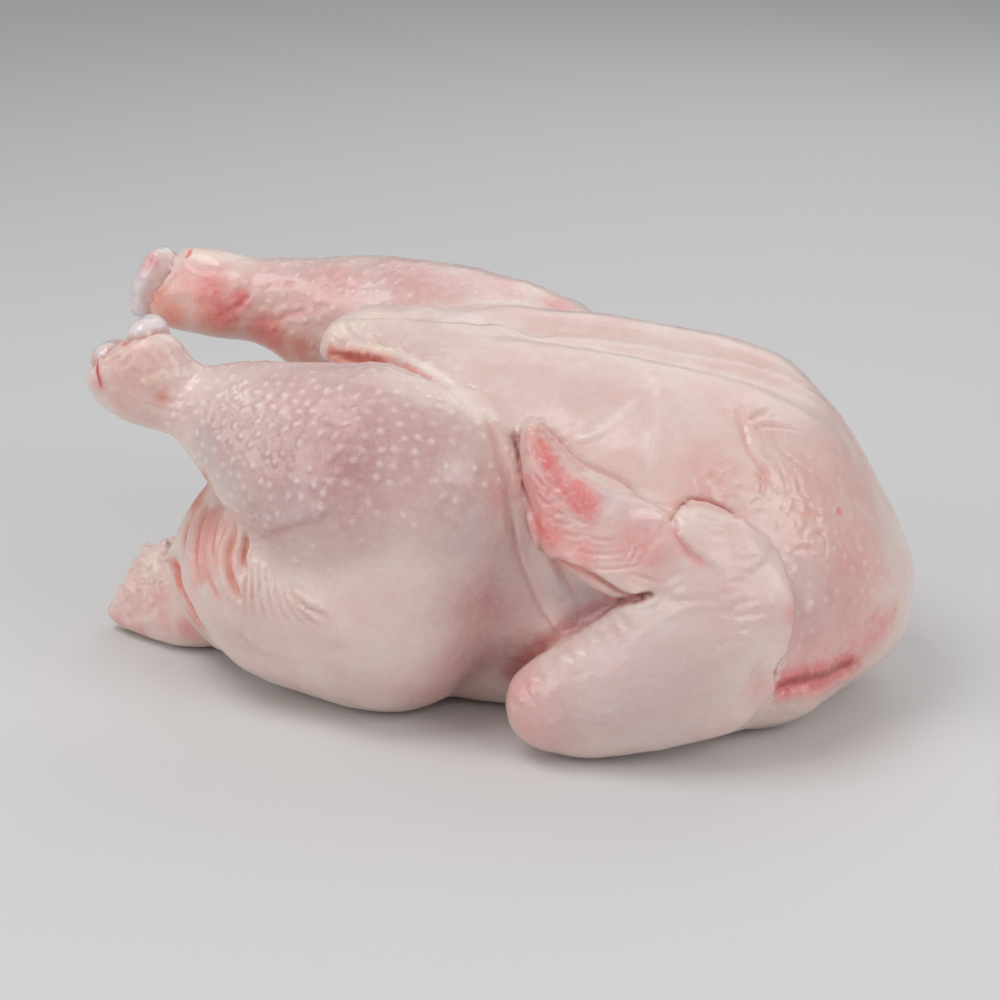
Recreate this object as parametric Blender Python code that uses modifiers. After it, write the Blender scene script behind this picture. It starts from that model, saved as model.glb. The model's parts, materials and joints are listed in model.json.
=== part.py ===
"""Whole raw chicken lying on its back, breast up, legs to -X and neck end to +X.

The flesh is built the way a sculptor blocks it in. A lofted trunk comes first, then legs, thighs,
tail, skin folds and wings as hulls stretched over balls. They are fused into one skin and smoothed,
the body cavity is hollowed from the vent, and the ends of the leg bones are set into their sockets.
"""

import bmesh
import bpy
import numpy as np
from mathutils import Matrix, Vector

NEAR, FAR = -1.0, 1.0

# Driving sizes. The bird is laid out in millimetres at 282 mm long, and brought to its real length last.
BIRD_LENGTH = 0.245
TRUNK_WIDTH = 128.0
BODY_VOXEL = 2.0
SKIN_VOXEL = 1.6
CARCASS_TRIANGLES = 9000
SOCKET_GAP = 0.4
FLOOR_CUT = 1.2

# Trunk stations from vent to neck: x, share of the half width, top, widest level, bottom.
TRUNK_STATIONS = (
    (-99, 0.26, 48, 32, 16),
    (-87, 0.50, 63, 38, 6),
    (-70, 0.66, 82, 44, 1.5),
    (-52, 0.78, 100, 50, 0),
    (-38, 0.83, 113, 51, 0),
    (-20, 0.87, 119, 51, 0),
    (10, 0.96, 119, 51, 0),
    (40, 1.00, 116.5, 51, 0),
    (70, 0.99, 112, 50, 0),
    (95, 0.90, 104.5, 47, 0),
    (112, 0.76, 92, 45, 2),
    (125, 0.58, 74, 42, 8),
    (135, 0.40, 56, 38, 16),
    (140.5, 0.22, 44, 34, 23),
)
SECTION_POWER = 2.35

# The keel groove between the two breasts, and how much the far breast stands above the near one.
GROOVE_DEPTH = 7.5
GROOVE_Y = 3.5
GROOVE_WIDTH = 6.5
GROOVE_SPAN = (-62.0, 116.0)
FAR_BREAST_RISE = 5.0
FAR_BREAST_Y = 28.0
FAR_BREAST_WIDTH = 17.0
FAR_BREAST_SPAN = (-30.0, 124.0)

# Each ball is x, y, z and radius. Paired members are listed once, for the near side at -Y.
DRUMSTICK_NEAR = (
    (-99, -40, 99, 11.5),
    (-89, -41, 98.5, 13.5),
    (-77, -42, 93.5, 20.5),
    (-60, -43, 86, 29.0),
    (-34, -45, 79, 38.5),
    (-16.6, -46, 77, 35.5),
)
HOCK_NEAR = (
    (-107.0, -40, 116.8, 8.6),
    (-107.8, -48.0, 118.9, 5.6),
    (-101.5, -45.0, 117.0, 6.4),
    (-118.5, -40, 108.4, 9.0),
    (-121.3, -48.2, 109.9, 5.7),
    (-125.6, -45.5, 107.6, 4.6),
    (-123, -40, 101, 6.0),
    (-113, -40, 97.5, 7.5),
    (-101, -40, 100, 12.0),
)
DRUMSTICK_FAR = (
    (-108, 38, 113.5, 15.5),
    (-94, 39, 112.5, 15.0),
    (-80, 41, 109, 18.5),
    (-66, 43, 104.5, 24.0),
    (-50, 45, 100, 29.0),
    (-30, 46, 93.5, 33.5),
    (-12, 48, 90, 33),
    (12, 49, 93, 22),
)
HOCK_FAR = (
    (-125.5, 37, 118, 9.0),
    (-130.5, 36, 110, 9.0),
    (-117.5, 38, 122.5, 9.5),
    (-106, 38, 113.5, 15.5),
)
THIGH = ((-16, -46, 60, 34), (-28, -44, 39, 40), (-61, -36, 38, 36), (-81, -28, 35, 26))
FLANK_LOW = ((-8, -36, 15, 14.5), (8, -38, 13.2, 12.6), (22, -39, 13.2, 12.6))
VENT_RIM = (
    (-86, -22, 72, 5.0),
    (-92, -25, 62, 6.5),
    (-97, -28, 51, 8.0),
    (-99, -30, 39, 9.5),
    (-97, -29, 26, 10.0),
    (-88, -27, 17, 12.0),
)
TAIL = (
    (-138, -6, 7, 4.0),
    (-126, -6, 18, 8.0),
    (-117, -6, 27, 7.5),
    (-113, -15, 9, 8.5),
    (-113, 3, 9, 8.5),
    (-96, -14, 17, 15),
    (-96, 6, 17, 15),
)
TAIL_KNOBS = (
    (-130.5, -6, 23.5, 3.8),
    (-125.5, -3, 28.5, 4.6),
    (-119.5, -8, 30.5, 4.6),
    (-118.5, 2, 31.0, 4.4),
    (-126.5, -11, 7.0, 4.4),
    (-136.5, -7, 8.0, 4.8),
)
BREAST_FLAP = (
    (-57.6, -6, 109.5, 4.2),
    (-55.5, -3, 115.5, 4.2),
    (-49, 11, 117, 4.5),
    (-42, -12, 112, 4.5),
    (-36, -21, 106, 4.0),
    (-30, 24, 111, 4.5),
    (-13, -33, 103, 4.5),
    (-8, 32, 107, 4.5),
    (-24, -9, 113, 5.0),
    (-24, 14, 115, 5.0),
    (2, -12, 112, 6.0),
    (2, 16, 113, 6.0),
)
FLANK_FOLD = (
    (-4, -36, 104, 3.5),
    (8, -46, 95, 4.5),
    (16, -53, 82, 5.0),
    (23, -57, 66, 5.5),
    (30, -58, 48, 6.0),
    (36, -58, 32, 8.0),
)
NECK_FLAP = (
    (92, -44, 7, 6.0),
    (103, -39, 9.5, 6.5),
    (113, -29, 13.5, 6.5),
    (122.5, -14, 21, 6.5),
    (127, 1, 27, 7.0),
    (122, 18, 21, 6.5),
    (111, 32, 14, 6.5),
)
FOREARM = (
    ((33, -76, 19, 15.5), (44, -76, 15, 13), (38, -75, 28, 10.5)),
    ((60, -72, 30, 19.5), (62, -72, 40, 15), (60, -74, 18, 13)),
    ((84, -66, 24, 15), (80, -68, 45, 19), (92, -62, 38, 14)),
    ((79, -66, 66, 14), (94, -63, 55, 13), (70, -66, 56, 8)),
    ((77, -66, 76, 9), (88, -64, 68, 11)),
)
HAND = (
    ((20.5, -52, 103, 3.4), (24, -57, 91, 3.8)),
    ((29, -59, 91, 4.8), (31, -66, 71, 4.8)),
    ((43, -63, 83, 5.8), (46, -70, 63, 6.3)),
    ((57, -65, 77, 8.0), (60, -70, 61, 8.5)),
    ((72, -66, 73, 11.0), (72, -68, 60, 11.0)),
)
UPPER_WING = (
    ((36, -66, 18, 14), (44, -64, 12, 11)),
    ((70, -56, 20, 18), (72, -50, 30, 18)),
    ((100, -42, 24, 19), (98, -36, 40, 24)),
)

# The hollow of the body, entered between the thighs above the tail.
CAVITY = (
    (-128, 0, 74, 23),
    (-100, 0, 62, 21),
    (-74, 0, 64, 27),
    (-56, 0, 70, 30),
    (-25, 0, 66, 31),
    (25, 0, 58, 26),
)

# Ends of the leg bones. The near one shows two knuckles of cartilage with a saddle between them, the far one
# an oval cap seen from its end. Each stands on a short neck.
BONE_NEAR = (
    ((-109.3, -42.8, 121.8, 5.7), (-108.9, -36.5, 121.5, 6.0), (-104, -40, 111, 5.5)),
    ((-122.0, -42.8, 112.6, 6.1), (-121.4, -36.5, 112.3, 6.0), (-111, -40, 104, 5.5)),
    ((-115.2, -41.5, 114.2, 4.6), (-115.0, -37.5, 114.2, 4.6), (-107, -40, 107, 5.5)),
)
BONE_FAR = (
    (
        (-131.0, 33, 125.6, 4.8),
        (-136.0, 33, 116.5, 4.8),
        (-137.4, 33, 109.6, 4.6),
        (-130.6, 38.5, 125.6, 4.8),
        (-135.2, 38.5, 116.5, 4.8),
        (-136.4, 38.5, 109.8, 4.6),
        (-119, 37, 115, 5.5),
    ),
)


def clear_scene():
    for obj in list(bpy.data.objects):
        bpy.data.objects.remove(obj, do_unlink=True)


def material(name, colour, roughness, coat=0.0):
    made = bpy.data.materials.new(name)
    made.use_nodes = True
    shader = made.node_tree.nodes["Principled BSDF"]
    shader.inputs["Base Color"].default_value = (*colour, 1.0)
    shader.inputs["Roughness"].default_value = roughness
    shader.inputs["Metallic"].default_value = 0.0
    shader.inputs["Coat Weight"].default_value = coat
    made.diffuse_color = (*colour, 1.0)
    return made


def mesh_object(name, bm):
    """A new object holding the bmesh, linked to the scene."""
    mesh = bpy.data.meshes.new(name)
    bm.to_mesh(mesh)
    bm.free()
    obj = bpy.data.objects.new(name, mesh)
    bpy.context.scene.collection.objects.link(obj)
    return obj


def ball_hull(name, balls, subdivisions=3, grow=0.0):
    """One closed skin stretched over balls."""
    bm = bmesh.new()
    for x, y, z, radius in balls:
        place = Matrix.Translation((x, y, z))
        bmesh.ops.create_icosphere(bm, subdivisions=subdivisions, radius=radius + grow, matrix=place)
    bmesh.ops.delete(bm, geom=bm.edges[:], context="EDGES_FACES")
    result = bmesh.ops.convex_hull(bm, input=bm.verts)
    spare = set(result["geom_interior"]) | set(result["geom_unused"])
    bmesh.ops.delete(bm, geom=[v for v in spare if isinstance(v, bmesh.types.BMVert)], context="VERTS")
    bmesh.ops.recalc_face_normals(bm, faces=bm.faces)
    return mesh_object(name, bm)


def chain(name, balls):
    """A limb: a hull over each pair of neighbouring balls, left to be fused."""
    return [ball_hull(f"{name}_{i}", balls[i : i + 2]) for i in range(len(balls) - 1)]


def band(name, groups):
    """A flat limb: a hull over each pair of neighbouring groups of balls, left to be fused."""
    return [ball_hull(f"{name}_{i}", groups[i] + groups[i + 1]) for i in range(len(groups) - 1)]


def on_side(balls, side):
    """The balls of a paired member, moved to the given side of the bird."""
    return tuple((x, -y * side, z, radius) for x, y, z, radius in balls)


def apply_modifiers(obj):
    bpy.context.view_layer.update()
    graph = bpy.context.evaluated_depsgraph_get()
    mesh = bpy.data.meshes.new_from_object(obj.evaluated_get(graph))
    obj.modifiers.clear()
    obj.data = mesh
    return obj


def fuse(name, objects, voxel, smoothing):
    """Joins closed pieces into one skin: a voxel remesh unites them and a smooth blends the joins."""
    bm = bmesh.new()
    for obj in objects:
        bm.from_mesh(obj.data)
        bpy.data.objects.remove(obj, do_unlink=True)
    fused = mesh_object(name, bm)
    remesh = fused.modifiers.new("Remesh", "REMESH")
    remesh.mode = "VOXEL"
    remesh.voxel_size = voxel
    smooth = fused.modifiers.new("Smooth", "SMOOTH")
    smooth.factor = 0.5
    smooth.iterations = smoothing
    return apply_modifiers(fused)


def cut(obj, cutter):
    """Takes the cutter away from the object."""
    boolean = obj.modifiers.new("Cut", "BOOLEAN")
    boolean.operation = "DIFFERENCE"
    boolean.object = cutter
    boolean.solver = "EXACT"
    apply_modifiers(obj)
    bpy.data.objects.remove(cutter, do_unlink=True)
    return obj


def join(obj, other):
    """Adds the other solid to the object."""
    boolean = obj.modifiers.new("Join", "BOOLEAN")
    boolean.operation = "UNION"
    boolean.object = other
    boolean.solver = "EXACT"
    apply_modifiers(obj)
    bpy.data.objects.remove(other, do_unlink=True)
    return obj


def smooth_curve(xs, ys, at):
    """A smooth line through the stations, so that the outlines have no corners."""
    slopes = np.gradient(ys, xs)
    i = np.clip(np.searchsorted(xs, at) - 1, 0, len(xs) - 2)
    width = xs[i + 1] - xs[i]
    t = (at - xs[i]) / width
    return (
        (2 * t**3 - 3 * t**2 + 1) * ys[i]
        + (t**3 - 2 * t**2 + t) * width * slopes[i]
        + (3 * t**2 - 2 * t**3) * ys[i + 1]
        + (t**3 - t**2) * width * slopes[i + 1]
    )


def ramp(x, span, length=30.0):
    """One inside the span, falling smoothly to nothing at its ends."""
    t = np.clip(min(x - span[0], span[1] - x) / length, 0, 1)
    return t * t * (3 - 2 * t)


def trunk():
    """The trunk: superellipse rings lofted from vent to neck, with the two breasts on top."""
    rings, around = 96, 80
    table = np.array(TRUNK_STATIONS, float)
    xs = np.linspace(table[0, 0], table[-1, 0], rings)
    half, top, middle, bottom = (smooth_curve(table[:, 0], table[:, c], xs) for c in (1, 2, 3, 4))
    half = half * TRUNK_WIDTH / 2
    angles = np.linspace(0, 2 * np.pi, around, endpoint=False)
    c, s = np.cos(angles), np.sin(angles)
    out = np.sign(c) * np.abs(c) ** (2 / SECTION_POWER)
    rise = np.abs(s) ** (2 / SECTION_POWER)
    bm = bmesh.new()
    loops = []
    for x, w, t, m, b in zip(xs, half, top, middle, bottom):
        y = w * out
        z = m + np.where(s > 0, (t - m) * rise, (b - m) * rise)
        groove = GROOVE_DEPTH * ramp(x, GROOVE_SPAN) * np.exp(-(((y - GROOVE_Y) / GROOVE_WIDTH) ** 2))
        lobe = np.exp(-(((y - FAR_BREAST_Y) / FAR_BREAST_WIDTH) ** 2))
        bulge = FAR_BREAST_RISE * ramp(x, FAR_BREAST_SPAN) * lobe
        z = z + np.where(s > 0, (bulge - groove) * rise, 0)
        loops.append([bm.verts.new((x, py, pz)) for py, pz in zip(y, z)])
    for first, second in zip(loops, loops[1:]):
        for i in range(around):
            j = (i + 1) % around
            bm.faces.new((first[i], first[j], second[j], second[i]))
    bm.faces.new(reversed(loops[0]))
    bm.faces.new(loops[-1])
    bmesh.ops.recalc_face_normals(bm, faces=bm.faces)
    return mesh_object("trunk", bm)


def body():
    """Trunk, legs, tail and folds of skin in one smooth skin, hollowed from the vent."""
    pieces = [trunk(), ball_hull("hock_near", HOCK_NEAR), ball_hull("hock_far", HOCK_FAR)]
    pieces += chain("drumstick_near", DRUMSTICK_NEAR)
    pieces += chain("drumstick_far", DRUMSTICK_FAR)
    for side in (NEAR, FAR):
        pieces += chain("thigh", on_side(THIGH, side))
        pieces += chain("flank_low", on_side(FLANK_LOW, side))
    solid = fuse("body", pieces, BODY_VOXEL, 9)
    folds = [solid, ball_hull("tail", TAIL), ball_hull("breast_flap", BREAST_FLAP)]
    folds += chain("neck_flap", NECK_FLAP)
    folds += [ball_hull("tail_knob", (knob,)) for knob in TAIL_KNOBS]
    for side in (NEAR, FAR):
        folds += chain("vent_rim", on_side(VENT_RIM, side))
        folds += chain("flank_fold", on_side(FLANK_FOLD, side))
    solid = fuse("body", folds, SKIN_VOXEL, 4)
    hollow = fuse("cavity", chain("cavity", CAVITY), 3.0, 8)
    return cut(solid, hollow)


def wings():
    """Both wings folded against the sides: upper wing, forearm and the hand that points back."""
    pieces = []
    for side in (NEAR, FAR):
        for name, groups in (("upper_wing", UPPER_WING), ("forearm", FOREARM), ("hand", HAND)):
            pieces += band(name, [on_side(group, side) for group in groups])
    return fuse("wings", pieces, SKIN_VOXEL, 8)


def bone(name, knuckles, grow=0.0):
    """The end of a leg bone, or with grow the socket it sits in."""
    made = ball_hull(name, knuckles[0], 2, grow)
    for balls in knuckles[1:]:
        join(made, ball_hull(name + "_knuckle", balls, 2, grow))
    return made


def drop_scraps(bm):
    """Keeps the largest connected body and drops the crumbs that a cut has left beside it."""
    bodies, seen = [], set()
    for start in bm.verts:
        if start in seen:
            continue
        found, front = {start}, [start]
        while front:
            vert = front.pop()
            fresh = [edge.other_vert(vert) for edge in vert.link_edges]
            fresh = [v for v in fresh if v not in found]
            found.update(fresh)
            front.extend(fresh)
        seen |= found
        bodies.append(found)
    largest = max(bodies, key=len)
    bmesh.ops.delete(bm, geom=[v for v in bm.verts if v not in largest], context="VERTS")


def tidy(obj):
    """One body of triangles, with no slivers left by the cuts."""
    bm = bmesh.new()
    bm.from_mesh(obj.data)
    drop_scraps(bm)
    bmesh.ops.triangulate(bm, faces=bm.faces)
    bmesh.ops.remove_doubles(bm, verts=bm.verts, dist=0.004)
    bmesh.ops.dissolve_degenerate(bm, edges=bm.edges, dist=0.004)
    bmesh.ops.triangulate(bm, faces=bm.faces)
    bmesh.ops.recalc_face_normals(bm, faces=bm.faces)
    bm.to_mesh(obj.data)
    bm.free()
    return obj


def carcass():
    skin = fuse("carcass", [body(), wings()], SKIN_VOXEL, 3)
    count = sum(len(p.vertices) - 2 for p in skin.data.polygons)
    decimate = skin.modifiers.new("Decimate", "DECIMATE")
    decimate.ratio = CARCASS_TRIANGLES / count
    apply_modifiers(skin)
    bm = bmesh.new()
    under = Matrix.Translation((0, 0, FLOOR_CUT - 50)) @ Matrix.Diagonal((400, 300, 100, 1))
    bmesh.ops.create_cube(bm, size=1.0, matrix=under)
    cut(skin, mesh_object("floor", bm))
    cut(skin, bone("socket_near", BONE_NEAR, SOCKET_GAP))
    cut(skin, bone("socket_far", BONE_FAR, SOCKET_GAP))
    return tidy(skin)


def main():
    clear_scene()
    bird = carcass()
    near_bone = tidy(bone("near_leg_bone", BONE_NEAR))
    far_bone = tidy(bone("far_leg_bone", BONE_FAR))
    parts = [bird, near_bone, far_bone]
    parts[0].data.materials.append(material("skin", (0.72, 0.55, 0.50), 0.38, 0.35))
    for part in parts[1:]:
        part.data.materials.append(material(part.name, (0.70, 0.66, 0.68), 0.3, 0.3))

    low = np.min([np.min([v.co for v in part.data.vertices], axis=0) for part in parts], axis=0)
    high = np.max([np.max([v.co for v in part.data.vertices], axis=0) for part in parts], axis=0)
    origin = Vector(((low[0] + high[0]) / 2, (low[1] + high[1]) / 2, low[2]))
    nodes = bpy.data.collections.new("whole_raw_chicken")
    bpy.context.scene.collection.children.link(nodes)
    scale = BIRD_LENGTH / (high[0] - low[0])
    for part in parts:
        part.data.transform(Matrix.Scale(scale, 4) @ Matrix.Translation(-origin))
        bpy.context.scene.collection.objects.unlink(part)
        nodes.objects.link(part)
    print("origin", tuple(round(v, 2) for v in origin), "scale", round(scale, 7))


main()
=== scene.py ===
# %% [markdown]
# # A whole raw chicken
# This lesson dresses the plain solids of a raw chicken: pale skin with feather follicles, mauve drumsticks,
# reddened folds, fat, and wet cartilage at the hocks. The solids arrive as a fixed frame, in metres, with
# the neck end at +X, the side we look at towards -Y, and the breast up.

# %% The frame
import json
import math

import bmesh
import bpy
import numpy as np
from mathutils import Matrix, Vector, noise
from mathutils.bvhtree import BVHTree

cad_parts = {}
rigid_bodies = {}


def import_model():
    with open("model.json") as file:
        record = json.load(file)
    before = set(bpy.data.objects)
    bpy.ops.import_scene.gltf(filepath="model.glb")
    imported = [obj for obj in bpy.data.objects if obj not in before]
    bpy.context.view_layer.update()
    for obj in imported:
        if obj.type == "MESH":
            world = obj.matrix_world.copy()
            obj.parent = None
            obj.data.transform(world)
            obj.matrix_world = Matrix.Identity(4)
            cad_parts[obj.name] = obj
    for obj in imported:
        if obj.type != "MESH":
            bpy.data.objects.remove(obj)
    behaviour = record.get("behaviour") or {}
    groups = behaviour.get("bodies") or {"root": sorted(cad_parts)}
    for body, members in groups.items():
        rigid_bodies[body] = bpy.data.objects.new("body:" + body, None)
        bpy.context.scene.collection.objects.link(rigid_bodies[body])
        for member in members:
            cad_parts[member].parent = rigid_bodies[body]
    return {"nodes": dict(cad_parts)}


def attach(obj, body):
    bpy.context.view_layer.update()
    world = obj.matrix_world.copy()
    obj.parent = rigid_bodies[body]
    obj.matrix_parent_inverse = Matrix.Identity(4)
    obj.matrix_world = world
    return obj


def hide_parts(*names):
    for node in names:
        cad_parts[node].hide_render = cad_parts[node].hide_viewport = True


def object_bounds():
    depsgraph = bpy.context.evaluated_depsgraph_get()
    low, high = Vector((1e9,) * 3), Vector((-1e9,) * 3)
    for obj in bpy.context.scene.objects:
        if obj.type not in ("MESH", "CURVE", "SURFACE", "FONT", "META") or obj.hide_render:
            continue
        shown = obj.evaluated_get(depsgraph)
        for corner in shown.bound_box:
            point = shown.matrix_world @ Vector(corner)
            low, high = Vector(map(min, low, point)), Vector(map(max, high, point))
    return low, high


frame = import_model()
solid_low, solid_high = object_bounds()
length = solid_high.x - solid_low.x
MM = length / 245
print(f"bird {length * 1000:.1f} mm long, {(solid_high.z - solid_low.z) * 1000:.1f} mm high")

# %% [markdown]
# ## The eye that sees the bird
# The photograph looks from a little right of square on, and a little above. We make that camera first,
# because the marks on the skin (creases, flushes, scars) are described by where they are seen, and then
# laid on the skin.

# %% Camera
VIEW_AZIMUTH = math.radians(12)
VIEW_ELEVATION = math.radians(20)
VIEW_DISTANCE = 763.8 * MM
LENS = 93
SENSOR = 36
PICTURE = 1000
LOOK_AT = Vector((0.6, 0, 49.3)) * MM

view_back = Vector((
    math.sin(VIEW_AZIMUTH) * math.cos(VIEW_ELEVATION),
    -math.cos(VIEW_AZIMUTH) * math.cos(VIEW_ELEVATION),
    math.sin(VIEW_ELEVATION),
))
view_right = Vector((math.cos(VIEW_AZIMUTH), math.sin(VIEW_AZIMUTH), 0))
view_up = view_back.cross(view_right)
eye = LOOK_AT + view_back * VIEW_DISTANCE

lens = bpy.data.cameras.new("camera")
lens.lens = LENS
lens.sensor_width = SENSOR
lens.clip_start = 0.01
camera = bpy.data.objects.new("camera", lens)
bpy.context.scene.collection.objects.link(camera)
camera.matrix_world = Matrix.Translation(eye) @ view_back.to_track_quat("Z", "Y").to_matrix().to_4x4()
bpy.context.scene.camera = camera
print("eye at", [round(v, 3) for v in eye])


def sight_line(u, v):
    """The direction from the eye through a point of the picture, counted from its top left corner."""
    half = SENSOR / LENS / 2
    across = (u / PICTURE - 0.5) * 2 * half
    down = (v / PICTURE - 0.5) * 2 * half
    return (-view_back + view_right * across - view_up * down).normalized()


# %% [markdown]
# ## The skin's blank
# On the real bird one skin covers trunk, legs and wings. Its solid is faceted, so we copy it, weld it,
# remesh it into even quads and relax them. A plain Smooth shrinks a form, so each inward step is answered
# by an outward one, which irons out the facets and keeps the size. The blank is drawn over the bone ends as
# well, so that the skin runs up to them without a gap.

# %% Blank of the skin
SKIN_GRAIN = 2.05 * MM
RELAX_ROUNDS = 5
RELAX_IN = 0.55
RELAX_OUT = -0.56
BONE_ENDS = ("near_leg_bone", "far_leg_bone")


def welded_copy(nodes, name):
    """A copy of the meshes of CAD nodes in one object, with the loose triangles welded."""
    bm = bmesh.new()
    for node in nodes:
        bm.from_mesh(frame["nodes"][node].data)
    bmesh.ops.remove_doubles(bm, verts=bm.verts, dist=0.001 * MM)
    mesh = bpy.data.meshes.new(name)
    bm.to_mesh(mesh)
    bm.free()
    obj = bpy.data.objects.new(name, mesh)
    bpy.context.scene.collection.objects.link(obj)
    return obj


def settle(obj):
    """Makes the object's modifiers part of its mesh."""
    bpy.context.view_layer.update()
    mesh = bpy.data.meshes.new_from_object(obj.evaluated_get(bpy.context.evaluated_depsgraph_get()))
    obj.modifiers.clear()
    obj.data = mesh
    return obj


def remesh(obj, grain):
    """Builds the object's mesh anew from even quads of about the given size."""
    voxels = obj.modifiers.new("Remesh", "REMESH")
    voxels.mode = "VOXEL"
    voxels.voxel_size = grain
    return settle(obj)


def places(mesh):
    """The vertices' places, a row each."""
    flat = np.empty(len(mesh.vertices) * 3, np.float32)
    mesh.vertices.foreach_get("co", flat)
    return flat.reshape(-1, 3).astype(float)


def directions(mesh):
    """The vertices' outward directions, a row each."""
    flat = np.empty(len(mesh.vertices) * 3, np.float32)
    mesh.vertex_normals.foreach_get("vector", flat)
    return flat.reshape(-1, 3).astype(float)


def move_to(mesh, co):
    mesh.vertices.foreach_set("co", co.astype(np.float32).ravel())
    mesh.update()


def links(mesh):
    """The two ends of each edge, a row each."""
    flat = np.empty(len(mesh.edges) * 2, np.int32)
    mesh.edges.foreach_get("vertices", flat)
    return flat.reshape(-1, 2)


def averaged(values, pairs, count):
    """Each vertex's mean over its neighbours."""
    total = np.zeros_like(values)
    for column in range(values.shape[1]):
        total[:, column] = np.bincount(pairs[:, 0], values[pairs[:, 1], column], len(values))
        total[:, column] += np.bincount(pairs[:, 1], values[pairs[:, 0], column], len(values))
    return total / count[:, None]


def relax(mesh, rounds, share=None):
    """Irons a mesh without shrinking it; share, from 0 to 1 at each vertex, says where."""
    pairs = links(mesh)
    co = places(mesh)
    count = np.maximum(np.bincount(pairs.ravel(), minlength=len(co)), 1)
    weight = 1.0 if share is None else share[:, None]
    for _ in range(rounds):
        for step in (RELAX_IN, RELAX_OUT):
            co = co + (averaged(co, pairs, count) - co) * step * weight
    move_to(mesh, co)


skin = remesh(welded_copy(("carcass", *BONE_ENDS), "skin"), SKIN_GRAIN)
relax(skin.data, RELAX_ROUNDS)
print("skin blank:", len(skin.data.vertices), "vertices")

# %% [markdown]
# ## Laying marks on the skin
# A mark is a line through a few points of the picture. Each point is cast from the eye on to the blank,
# which gives a place in space, so the mark then sits on the bird and is right from every side. The other
# side of the bird gets the same marks, mirrored and snapped to its own skin.

# %% Casting and mirroring
def surface_of(mesh):
    return BVHTree.FromPolygons([v.co for v in mesh.vertices], [p.vertices for p in mesh.polygons])


blank_surface = surface_of(skin.data)


def seen(u, v):
    """The point of the blank seen at a point of the picture, or the nearest to that line of sight."""
    ray = sight_line(u, v)
    hit = blank_surface.ray_cast(eye, ray)[0]
    if hit is not None:
        return hit
    tries = [eye + ray * VIEW_DISTANCE * (0.8 + 0.02 * i) for i in range(21)]
    return min((blank_surface.find_nearest(p) for p in tries), key=lambda found: found[3])[0]


def both_sides(u, v):
    """The point of the blank seen at a point of the picture, and its mirror on the far side."""
    near = seen(u, v)
    return near, blank_surface.find_nearest(Vector((near.x, -near.y, near.z)))[0]


def through(points, pieces=4):
    """A smooth line in space through the points."""
    points = [np.array(p) for p in points]
    if len(points) == 2:
        return np.array([points[0] + (points[1] - points[0]) * t for t in np.linspace(0, 1, pieces + 1)])
    ends = [2 * points[0] - points[1]] + points + [2 * points[-1] - points[-2]]
    line = []
    for a, b, c, d in zip(ends, ends[1:], ends[2:], ends[3:]):
        for t in np.arange(pieces) / pieces:
            bend = (c - a) * t + (2 * a - 5 * b + 4 * c - d) * t**2 + (3 * b - a - 3 * c + d) * t**3
            line.append(b + bend / 2)
    return np.array(line + [points[-1]])


def line_seen(*marks):
    return through([seen(u, v) for u, v in marks])


EVEN_ROUNDS = 4


def other_side(line):
    """The line mirrored to the far side, snapped to the skin there and evened out."""
    line = np.array([blank_surface.find_nearest(Vector((x, -y, z)))[0] for x, y, z in line])
    for _ in range(EVEN_ROUNDS):
        line[1:-1] = (line[:-2] + line[1:-1] * 2 + line[2:]) / 4
    return line


print("the wing tip is seen at", [round(v * 1000, 1) for v in seen(524, 426)], "mm")

# %% [markdown]
# ## A finer net where there is more to carve
# Hocks, tail, vent folds, flap and wing tips carry much smaller forms than the breast. Dividing only the
# faces there keeps the whole skin light enough. The first pass halves the grain, and the second halves it
# again. With the net fine there, the skin is also sunk under the bone ends, which leaves a soft groove
# round each.

# %% Finer net
FINE_PLACES = (
    (330, 440, 36), (240, 420, 26), (425, 425, 24), (128, 375, 25), (165, 290, 26), (150, 590, 23),
    (215, 550, 25), (275, 600, 22), (355, 335, 17), (430, 385, 17), (565, 500, 26), (640, 560, 20),
    (560, 660, 22), (720, 520, 18), (770, 590, 22), (765, 440, 18), (820, 670, 22), (350, 285, 24),
    (510, 540, 18), (250, 290, 20), (810, 505, 20), (860, 600, 18),
)
FINEST_PLACES = (
    (212, 530, 11), (235, 570, 10), (150, 565, 10), (135, 600, 10), (175, 620, 9), (105, 365, 9),
    (130, 345, 8), (130, 385, 9), (160, 395, 9), (350, 340, 9), (385, 355, 8), (550, 470, 10),
    (565, 505, 10), (590, 535, 9), (620, 570, 8), (150, 270, 9), (185, 255, 6), (250, 300, 6),
    (220, 420, 12), (270, 450, 12),
)


NET_ROUNDS = 2


def near_spot(co, spot, radius):
    """One at the spot, fading smoothly to nothing at the radius."""
    away = np.linalg.norm(co - np.array(spot), axis=1) / radius
    return np.where(away < 1, (1 - np.minimum(away, 1) ** 2) ** 2, 0)


def divide(mesh, spots):
    """Splits each edge that lies within the radius of a spot of the picture."""
    co = places(mesh)
    chosen = np.zeros(len(co), bool)
    for u, v, radius in spots:
        chosen |= np.linalg.norm(co - np.array(seen(u, v)), axis=1) < radius * MM
    bm = bmesh.new()
    bm.from_mesh(mesh)
    bm.verts.ensure_lookup_table()
    edges = [e for e in bm.edges if chosen[e.verts[0].index] and chosen[e.verts[1].index]]
    bmesh.ops.subdivide_edges(bm, edges=edges, cuts=1, use_grid_fill=True, smooth=0.0)
    bmesh.ops.triangulate(bm, faces=[f for f in bm.faces if len(f.verts) > 4])
    bm.to_mesh(mesh)
    bm.free()
    relax(mesh, NET_ROUNDS)


divide(skin.data, FINE_PLACES)
divide(skin.data, FINEST_PLACES)

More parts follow.
